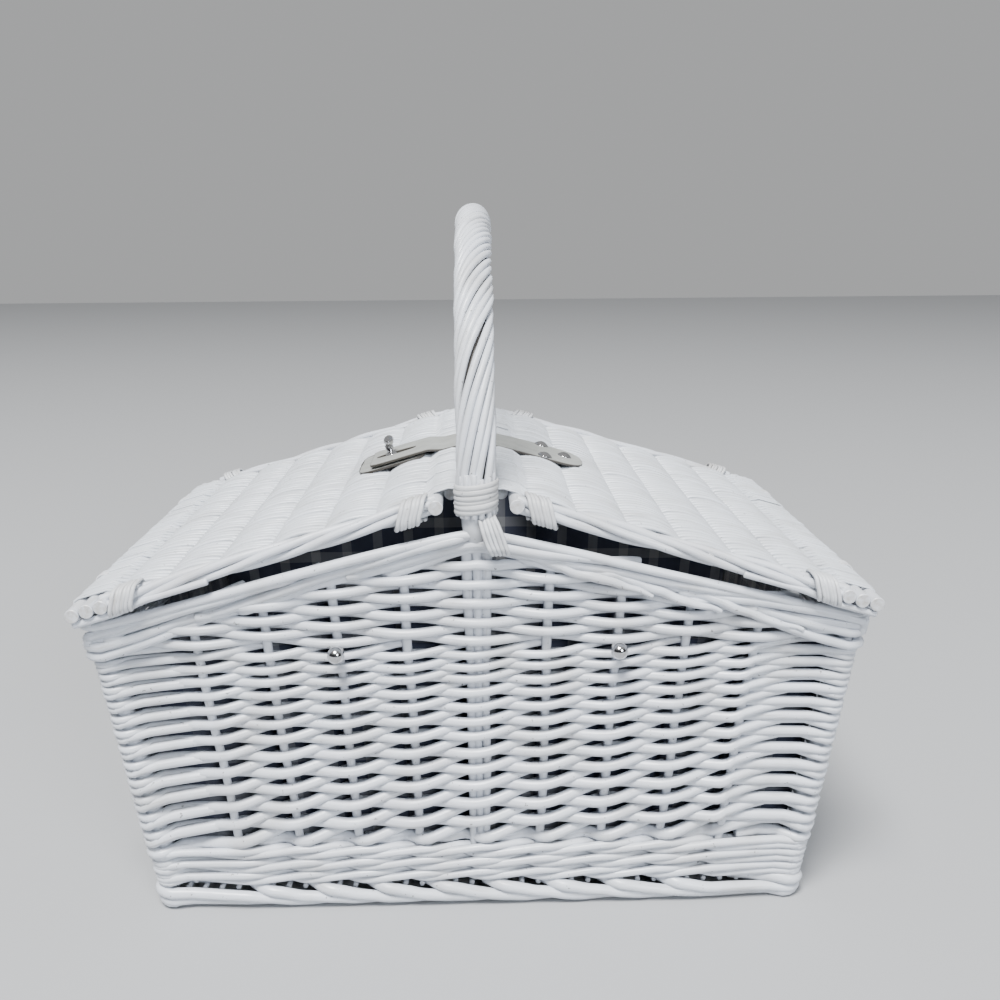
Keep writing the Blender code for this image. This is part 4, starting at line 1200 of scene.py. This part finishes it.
# collar: one strip of cane wound round the handle's foot, a helix whose height also leans with the turn
def windCollar(spec, sign, end):
    low, high = collarLow.z, collarHigh.z
    pitch = (high - low) / spec["turns"]
    turn = np.linspace(0, 2 * math.pi * spec["turns"], 36 * spec["turns"])[None]
    t = turn / turn[0, -1]
    height = low + pitch * (0.5 + t * (spec["turns"] - 1)) + spec["lean"] * np.cos(turn)
    height = height + wander(1, t[0], 0.0002)
    r = spec["radius"] + wander(1, t[0] * 3, 0.00025) + 0.0006 * (height - low) / (high - low)
    y = handle["hoop"] * sign
    paths = np.stack([r * np.cos(turn), y + r * np.sin(turn), height], -1)
    centre = np.stack([0 * turn, y + 0 * turn, height], -1)
    outward = unit(paths - centre)
    return rodMesh("collar_cane_" + end, paths, pitch * 0.52, outward, 8, spec["halfHeight"])


pegs = {"count": 15, "circle": 0.0088, "radius": 0.0015, "proud": (0.0008, 0.0042)}


# pegs: short cut rod ends that stand in a ring in the top of the collar
def standPegs(spec, sign, end):
    count = spec["count"]
    a = (np.arange(count) * 2 * math.pi / count + rng.uniform(-0.1, 0.1, count))[:, None]
    top = collarHigh.z + rng.uniform(*spec["proud"], (count, 1))
    height = collarLow.z + (top - collarLow.z) * np.linspace(0, 1, 6)[None]
    x = spec["circle"] * np.cos(a)
    y = handle["hoop"] * sign + spec["circle"] * np.sin(a)
    paths = np.stack(np.broadcast_arrays(x, y, height), -1)
    return rodMesh("collar_pegs_" + end, paths, spec["radius"], np.array([1.0, 0.2, 0]), 7)


leg = {"low": 0.150, "thin": 0.0024, "thicker": 0.0050}


# leg: the handle's stick from the collar down through the border to the stakes
def standLeg(spec, sign, end):
    t = np.linspace(0, 1, 40)[None]
    height = spec["low"] + (collarHigh.z - spec["low"]) * t
    wall = halfDepth(height) - stakes["inset"]
    above = ease((height - outline["peak"] + 0.012) / 0.012)
    y = sign * (wall + (handle["hoop"] - wall) * above)
    paths = np.stack([0 * t, y, height], -1)
    radius = spec["thin"] + spec["thicker"] * ease((height - outline["peak"] + 0.018) / 0.018)
    return rodMesh("handle_leg_" + end, paths, radius, np.array([1.0, 0, 0]), 12)


tie = {
    "strands": 5,
    "halfWidth": 0.00105,
    "halfHeight": 0.0008,
    "fallAt": ([0, 0.2, 0.6, 0.85, 1], [0, 0.004, 0.0150, 0.0205, 0.0205]),
    "leanAt": ([0, 0.3, 0.8, 1], [0.0, 0.003, 0.0075, 0.0078]),
    "outAt": ([0, 0.15, 0.35, 0.7, 0.88, 1], [0.0, 0.0095, 0.0125, 0.0128, 0.0098, 0.002]),
}


# tie: thin strands from the foot of the collar, down over the border's front and in under it
def bindTie(spec, sign, end):
    place = (np.arange(spec["strands"])[:, None] - 2) * 0.0022
    t = np.linspace(0, 1, 30)[None]
    height = collarLow.z + 0.002 - np.interp(t, *spec["fallAt"])
    x = 0.0040 + place * (0.75 + 0.25 * np.sin(math.pi * t)) + np.interp(t, *spec["leanAt"])
    rimFace = halfDepth(outline["peak"] - 0.008) + 0.0035
    y = -(rimFace - 0.0095 + np.interp(t, *spec["outAt"]))
    paths = onLongWall(*np.broadcast_arrays(x, y, height), sign < 0)
    outward = np.array([0, sign, 0.1])
    return rodMesh("tie_cane_" + end, paths, spec["halfWidth"], outward, 6, spec["halfHeight"])


for sign, end in ((-1, "front"), (1, "back")):
    addCane(windCollar(collar, sign, end), "handle_collar_" + end)
    addWillow(standPegs(pegs, sign, end))
    addWillow(standLeg(leg, sign, end))
    addCane(bindTie(tie, sign, end), "handle_tie_" + end)
print("handle roped")

# ---- hinge loops: strips of cane round the outer rod and through the eave border

hingeLoop = {"halfWidth": 0.0013, "halfHeight": 0.00065, "strands": 3, "spacing": 0.0026}


def windHingeLoop(spec, node):
    low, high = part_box(node)
    centreX, centreY = (low.x + high.x) / 2, (low.y + high.y) / 2
    halfWide = (high.x - low.x) / 2 - spec["halfHeight"]
    straight = (high.z - low.z) / 2 - (high.x - low.x) / 2
    turn = np.linspace(0, 2 * math.pi, 49)[None]
    x = halfWide * np.cos(turn)
    z = halfWide * np.sin(turn) + straight * np.tanh(6 * np.sin(turn))
    y = centreY + (np.arange(spec["strands"])[:, None] - 1) * spec["spacing"] + 0.0006 * np.sin(turn)
    middle = (low.z + high.z) / 2
    paths = np.stack(np.broadcast_arrays(centreX + x, y, middle + z), -1)
    centre = np.stack(np.broadcast_arrays(centreX, y, middle + z * 0.5), -1)
    return rodMesh(node + "_cane", paths, spec["halfWidth"], unit(paths - centre), 6, spec["halfHeight"])


for side in ("left", "right"):
    for end in ("front", "back"):
        node = "hinge_loop_%s_%s" % (side, end)
        addCane(windHingeLoop(hingeLoop, node), node)

# ---- lining

liningShape = {"inset": 0.0135, "floor": 0.0172, "top": 0.156, "peakTop": 0.206, "pucker": 0.0012}


# lining: an open box of cloth; each point runs across the floor, turns up at the foot of a wall and climbs
# it, with shallow puckers that fade towards the floor, so walls and floor are one grid
def sewLining(spec):
    lapCount, climb = 240, 36
    s = np.arange(lapCount) / lapCount
    index = (s * len(lap["step"])).astype(int)
    share = lap["share"][index]
    normal = unit(lap["normal"][index] + 1.2 * lap["post"][index])
    t = np.linspace(0, 1, climb)[:, None]
    gable = np.where(np.abs(share[:, 1]) > 0.99, 1 - np.abs(share[:, 0]), 0)
    top = spec["top"] + (spec["peakTop"] - spec["top"]) * gable
    height = spec["floor"] + (top - spec["floor"]) * t
    reach = np.stack([halfLength(height) - spec["inset"], halfDepth(height) - spec["inset"]], -1)
    ripple = np.sin(s * 2 * math.pi * 46) * 0.6 + np.sin(s * 2 * math.pi * 17 + 1.0)
    ripple = spec["pucker"] * ripple * (0.15 + 0.85 * t)
    wall = share[None] * reach - normal[None] * np.abs(ripple)[..., None]
    wallPoints = np.concatenate([wall, height[..., None]], -1)
    rings = np.linspace(0.0, 1, 14)[1:, None, None]
    floorFlat = wallPoints[0][None, :, :2] * rings
    swell = 0.0008 * np.sin(floorFlat[..., :1] * 90) * np.sin(floorFlat[..., 1:] * 110)
    floorPoints = np.concatenate([floorFlat, spec["floor"] + np.abs(swell) * (1 - rings)], -1)
    grid = np.concatenate([floorPoints, wallPoints[1:]], 0)
    rows = len(grid)
    points = np.concatenate([grid.reshape(-1, 3), [[0, 0, spec["floor"]]]])
    i = np.arange(lapCount)
    nextI = (i + 1) % lapCount
    row = np.arange(rows - 1)[:, None] * lapCount
    quads = np.stack([row + i, row + nextI, row + lapCount + nextI, row + lapCount + i], -1).reshape(-1, 4)
    triangles = np.stack([np.full(lapCount, rows * lapCount), i, nextI], -1)
    side = np.linalg.norm(np.diff(grid, axis=0), axis=-1).cumsum(0)
    turnUp = len(rings) - 1
    wallRun = np.concatenate([np.zeros((1, lapCount)), side])[turnUp:] - side[turnUp - 1]
    acrossRun = np.concatenate([[0], np.linalg.norm(np.diff(wallPoints[-1], axis=0), axis=-1).cumsum()])
    uv = grid[..., :2].copy()
    uv[turnUp:] = np.stack(np.broadcast_arrays(acrossRun[None], wallRun), -1)
    flatUv = np.concatenate([uv.reshape(-1, 2), [[0, 0]]])
    return meshFrom("lining_cloth", points, quads, triangles, flatUv[quads], flatUv[triangles])


liningMesh = sewLining(liningShape)
liningPiece = addPiece(liningMesh, checkedLining, "basket", ["lining"])
clothThickness = liningPiece.modifiers.new("cloth", "SOLIDIFY")
clothThickness.thickness = 0.0007
clothThickness.offset = 0

# ---- strap, lock, rivets and studs

strap = {
    "halfWidth": 0.0218,
    "thickness": 0.0017,
    "rivetEnd": 0.065,
    "slotEnd": 0.069,
    "tip": 0.016,
    "slotAt": -0.048,
    "slotHalfLength": 0.0120,
    "slotHalfWidth": 0.0042,
}


# height of a point that stands clear of the lids' middle plane, over world x, softened over the ridge
def overLids(x, clear):
    soft = np.sqrt(x**2 + 0.011**2) - 0.0012
    return hingeZ + (hingeX - soft) * math.tan(lidSlope) + clear / math.cos(lidSlope)


# strap: a strip across the ridge as a grid of run and width; its tips are superellipses, and its middle
# columns part round the slot's two half circles, where one row of cells is left out
def cutStrap(spec):
    reach = spec["rivetEnd"] - spec["slotAt"]
    away = np.linspace(spec["rivetEnd"], -spec["slotEnd"], 240) - spec["slotAt"]
    run = spec["slotAt"] + np.sinh(away * 14) / np.sinh(reach * 14) * reach
    run = np.clip(run, -spec["slotEnd"], spec["rivetEnd"])
    lift = 0.0052 + 0.0022 * ease((-run - 0.018) / 0.012)
    z = overLids(run, lift)
    half = spec["halfWidth"] - 0.0016 * np.exp(-((run / 0.034) ** 2))
    for end, inward in ((spec["rivetEnd"], -1), (-spec["slotEnd"], 1)):
        into = np.clip((run - end) * inward / spec["tip"], 0, 1)
        half = half * np.maximum(1 - (1 - into) ** 2.4, 1e-4) ** (1 / 2.4)
    half = half[:, None]
    columns = 42
    across = np.linspace(-1, 1, columns)
    gap = np.clip(1 - ((run - spec["slotAt"]) / spec["slotHalfLength"]) ** 2, 0, 1)
    gap = (gap**0.35 * spec["slotHalfWidth"])[:, None]
    parted = gap[:, 0] > 0
    inner = 1 / (columns - 1)
    pushed = gap + (half - gap) * (np.abs(across) - inner) / (1 - inner)
    y = np.maximum(np.abs(across) * half, pushed) * np.sign(across)
    crown = 0.0009 * (1 - across**2) * np.exp(-((run[:, None] / 0.02) ** 2))
    edge = np.minimum(half - np.abs(y), np.where(gap > 0, np.abs(y) - gap, 1))
    skin = spec["thickness"] / 2 * (0.55 + 0.45 * ease(edge / 0.0010))
    tangent = unit(np.stack([np.gradient(run), 0 * run, np.gradient(z)], -1))
    normal = np.stack([tangent[:, 2], 0 * run, -tangent[:, 0]], -1)[:, None]
    middle = np.stack([run[:, None] + 0 * across, y, z[:, None] + crown], -1)
    hole = np.zeros((len(run) - 1, len(across) - 1), bool)
    hole[:, columns // 2 - 1] = parted[:-1] & parted[1:]
    return middle + normal * skin[..., None], middle - normal * skin[..., None], hole


# a closed strip from its upper and lower grids: both skins, and bands round its edge and any hole
def closedStrip(name, upper, lower, hole):
    rows, columns = upper.shape[:2]
    size = rows * columns
    points = np.concatenate([upper.reshape(-1, 3), lower.reshape(-1, 3)])
    r = np.arange(rows - 1)[:, None] * columns
    c = np.arange(columns - 1)
    cells = np.stack([r + c, r + c + 1, r + columns + c + 1, r + columns + c], -1)
    keep = ~hole
    skins = cells[keep]
    padded = np.pad(keep, 1)
    bands = []
    for row, column, first, second in ((0, 1, 0, 1), (1, 2, 1, 2), (2, 1, 2, 3), (1, 0, 3, 0)):
        beside = padded[row : row + rows - 1, column : column + columns - 1]
        edge = cells[keep & ~beside]
        a, b = edge[:, first], edge[:, second]
        bands.append(np.stack([b, a, a + size, b + size], -1))
    quads = np.concatenate([skins, skins[:, ::-1] + size] + bands)
    cut = np.zeros(len(points))
    cut[np.concatenate(bands).ravel()] = 1
    used = np.zeros(len(points), bool)
    used[quads.ravel()] = True
    renumber = np.cumsum(used) - 1
    quads = renumber[quads]
    points = points[used]
    flatUv = points[:, :2]
    none = np.zeros((0, 3), int)
    mesh = meshFrom(name, points, quads, none, flatUv[quads], np.zeros((0, 3, 2)))
    addAttribute(mesh, "cutEdge", cut[used])
    mesh.set_sharp_from_angle(angle=math.radians(50))
    return mesh


upper, lower, hole = cutStrap(strap)
strapPiece = addPiece(closedStrip("strap", upper, lower, hole), leatherette, None)
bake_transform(strapPiece)
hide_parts("strap_anchor", "strap_tongue")
print("strap cut")


# patch: a flat pad under the strap's free end with superellipse corners
def cutPatch():
    low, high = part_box("strap_patch")
    run = np.linspace(low.x, high.x, 60)
    t = np.linspace(-1, 1, 60)
    half = (high.y - low.y) / 2 * np.maximum(1 - np.abs(t) ** 6, 1e-4) ** (1 / 4)
    across = np.linspace(-1, 1, 30)
    y = half[:, None] * across
    clear = 0.0046 + 0.0008 * np.exp(-((1 - np.abs(across)) / 0.1) ** 2)
    z = overLids(run, 0)[:, None] + clear / math.cos(lidSlope)
    middle = np.stack([run[:, None] + 0 * across, y, z + 0 * y], -1)
    out = np.array([-math.sin(lidSlope), 0, math.cos(lidSlope)]) * 0.0007
    return closedStrip("patch", middle + out, middle - out, np.zeros((59, 29), bool))


addPiece(cutPatch(), leatherette, "left_lid", ["strap_patch"])

# ---- turned and pressed metal: studs, rivets and the turn-lock

metal = {
    "studBall": 0.0044,
    "studNeck": 0.0019,
    "studFlange": 0.0032,
    "rivetHead": 0.0044,
    "rivetHeight": 0.0024,
}


# ball stud: a thin flange, a neck, and a ball as sine and cosine of its own angle
def turnStud(spec, node):
    low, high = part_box(node)
    ball = spec["studBall"]
    centre = ((low.x + high.x) / 2, low.y + ball, (low.z + high.z) / 2)
    angle = np.linspace(0.45, math.pi, 26)
    flange = spec["studFlange"]
    profile = [(0, -0.0074), (flange, -0.0074), (flange, -0.0062), (spec["studNeck"], -0.0058)]
    profile += [(ball * math.sin(a), -ball * math.cos(a)) for a in angle]
    profile[-1] = (0, ball)
    return turnedMesh(node + "_turned", profile, centre, (0, -1, 0), 40)


for side in ("left", "right"):
    node = "ball_stud_" + side
    stud = addPiece(turnStud(metal, node), nickel, "basket", [node])
    stud.data.set_sharp_from_angle(angle=math.radians(40))


# rivet head: a low dome, height falling as the square of the radius, over a thin rim
def domeRivet(name, place, out, radius, height):
    r = np.linspace(1, 0, 12)
    profile = [(0, -0.0004), (radius, -0.0004), (radius, 0.0003)]
    profile += [(radius * 0.94 * k, 0.0005 + (height - 0.0005) * (1 - k**2)) for k in r]
    return turnedMesh(name, profile, place, out, 28)


for count in range(3):
    node = "strap_rivet_%d" % (count + 1)
    low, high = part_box(node)
    x, y = (low.x + high.x) / 2, (low.y + high.y) / 2
    out = (math.sin(lidSlope), 0, math.cos(lidSlope))
    place = np.array([x, y, overLids(x, 0.0062)])
    head = domeRivet(node + "_head", place, out, metal["rivetHead"], metal["rivetHeight"])
    addPiece(head, nickel, "right_lid", [node])


# turn-lock: a disc in the slot, and a post that starts with a waist and ends inside the knob's bar
def turnLock():
    low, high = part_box("lock_base")
    x = (low.x + high.x) / 2
    out = np.array([-math.sin(lidSlope), 0, math.cos(lidSlope)])
    foot = np.array([x, 0, overLids(x, 0.0058)])
    knobLow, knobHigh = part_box("lock_knob")
    reach = (knobLow.z + knobHigh.z) / 2 - foot[2]
    profile = [(0, -0.001), (0.0036, -0.001), (0.0036, 0.0022), (0.0031, 0.0027), (0.0024, 0.0029)]
    profile += [(0.0020, 0.0040), (0.0024, reach - 0.0012), (0, reach - 0.0010)]
    return turnedMesh("lock_post", profile, foot, out, 32)


addPiece(turnLock(), nickel, "left_lid", ["lock_base"])
bpy.data.objects["lock_knob"].material_slots[0].material = nickel
print("metal turned")

# ---- floor, light and camera

bpy.ops.mesh.primitive_plane_add(size=11, location=(0, 0, 0))
floor = bpy.context.object
floor.name = "floor"
floorMaterial, _, floorShader = newMaterial("paleFloor")
floorShader.inputs["Base Color"].default_value = (0.36, 0.37, 0.385, 1)
floorShader.inputs["Roughness"].default_value = 0.7
floor.data.materials.append(floorMaterial)

world = bpy.data.worlds.new("studio")
bpy.context.scene.world = world
world.use_nodes = True

# studio surround: pale overhead and beyond, dim behind the camera, so metal has something dark to mirror
sky = world.node_tree
direction = addNode(sky, "ShaderNodeTexCoord").outputs["Generated"]
skyWay = addNode(sky, "ShaderNodeSeparateXYZ", {0: direction}).outputs
behind = spreadValue(sky, skyWay["Y"], -0.35, 0.15)
overhead = spreadValue(sky, skyWay["Z"], 0.40, 0.85)
pale = maths(sky, "MAXIMUM", behind, overhead)
tone = mixColour(sky, pale, (0.05, 0.05, 0.055, 1), (0.50, 0.505, 0.51, 1))
brighter = mixColour(sky, overhead, tone, (0.60, 0.60, 0.60, 1))
sky.links.new(brighter, sky.nodes["Background"].inputs["Color"])
sky.nodes["Background"].inputs["Strength"].default_value = 0.85


def addLight(name, place, aim, size, power, colour):
    light = bpy.data.lights.new(name, "AREA")
    light.size = size
    light.energy = power
    light.color = colour
    lamp = bpy.data.objects.new(name, light)
    lamp.location = place
    lamp.rotation_euler = (Vector(aim) - Vector(place)).to_track_quat("-Z", "Y").to_euler()
    bpy.context.scene.collection.objects.link(lamp)


addLight("overhead", (-0.7, -2.4, 4.6), (0, 0, 0.12), 1.6, 700.0, (1.0, 0.99, 0.97))
addLight("fill", (2.4, -4.4, 2.4), (0, 0, 0.12), 1.6, 190.0, (0.90, 0.94, 1.0))

camera = bpy.data.cameras.new("camera")
camera.lens = 39.6
cameraObject = bpy.data.objects.new("camera", camera)
cameraObject.location = (0.0003, -0.6583, 0.3695)
cameraObject.rotation_euler = (math.radians(76.23), math.radians(0.41), math.radians(-1.35))
bpy.context.scene.collection.objects.link(cameraObject)
bpy.context.scene.camera = cameraObject
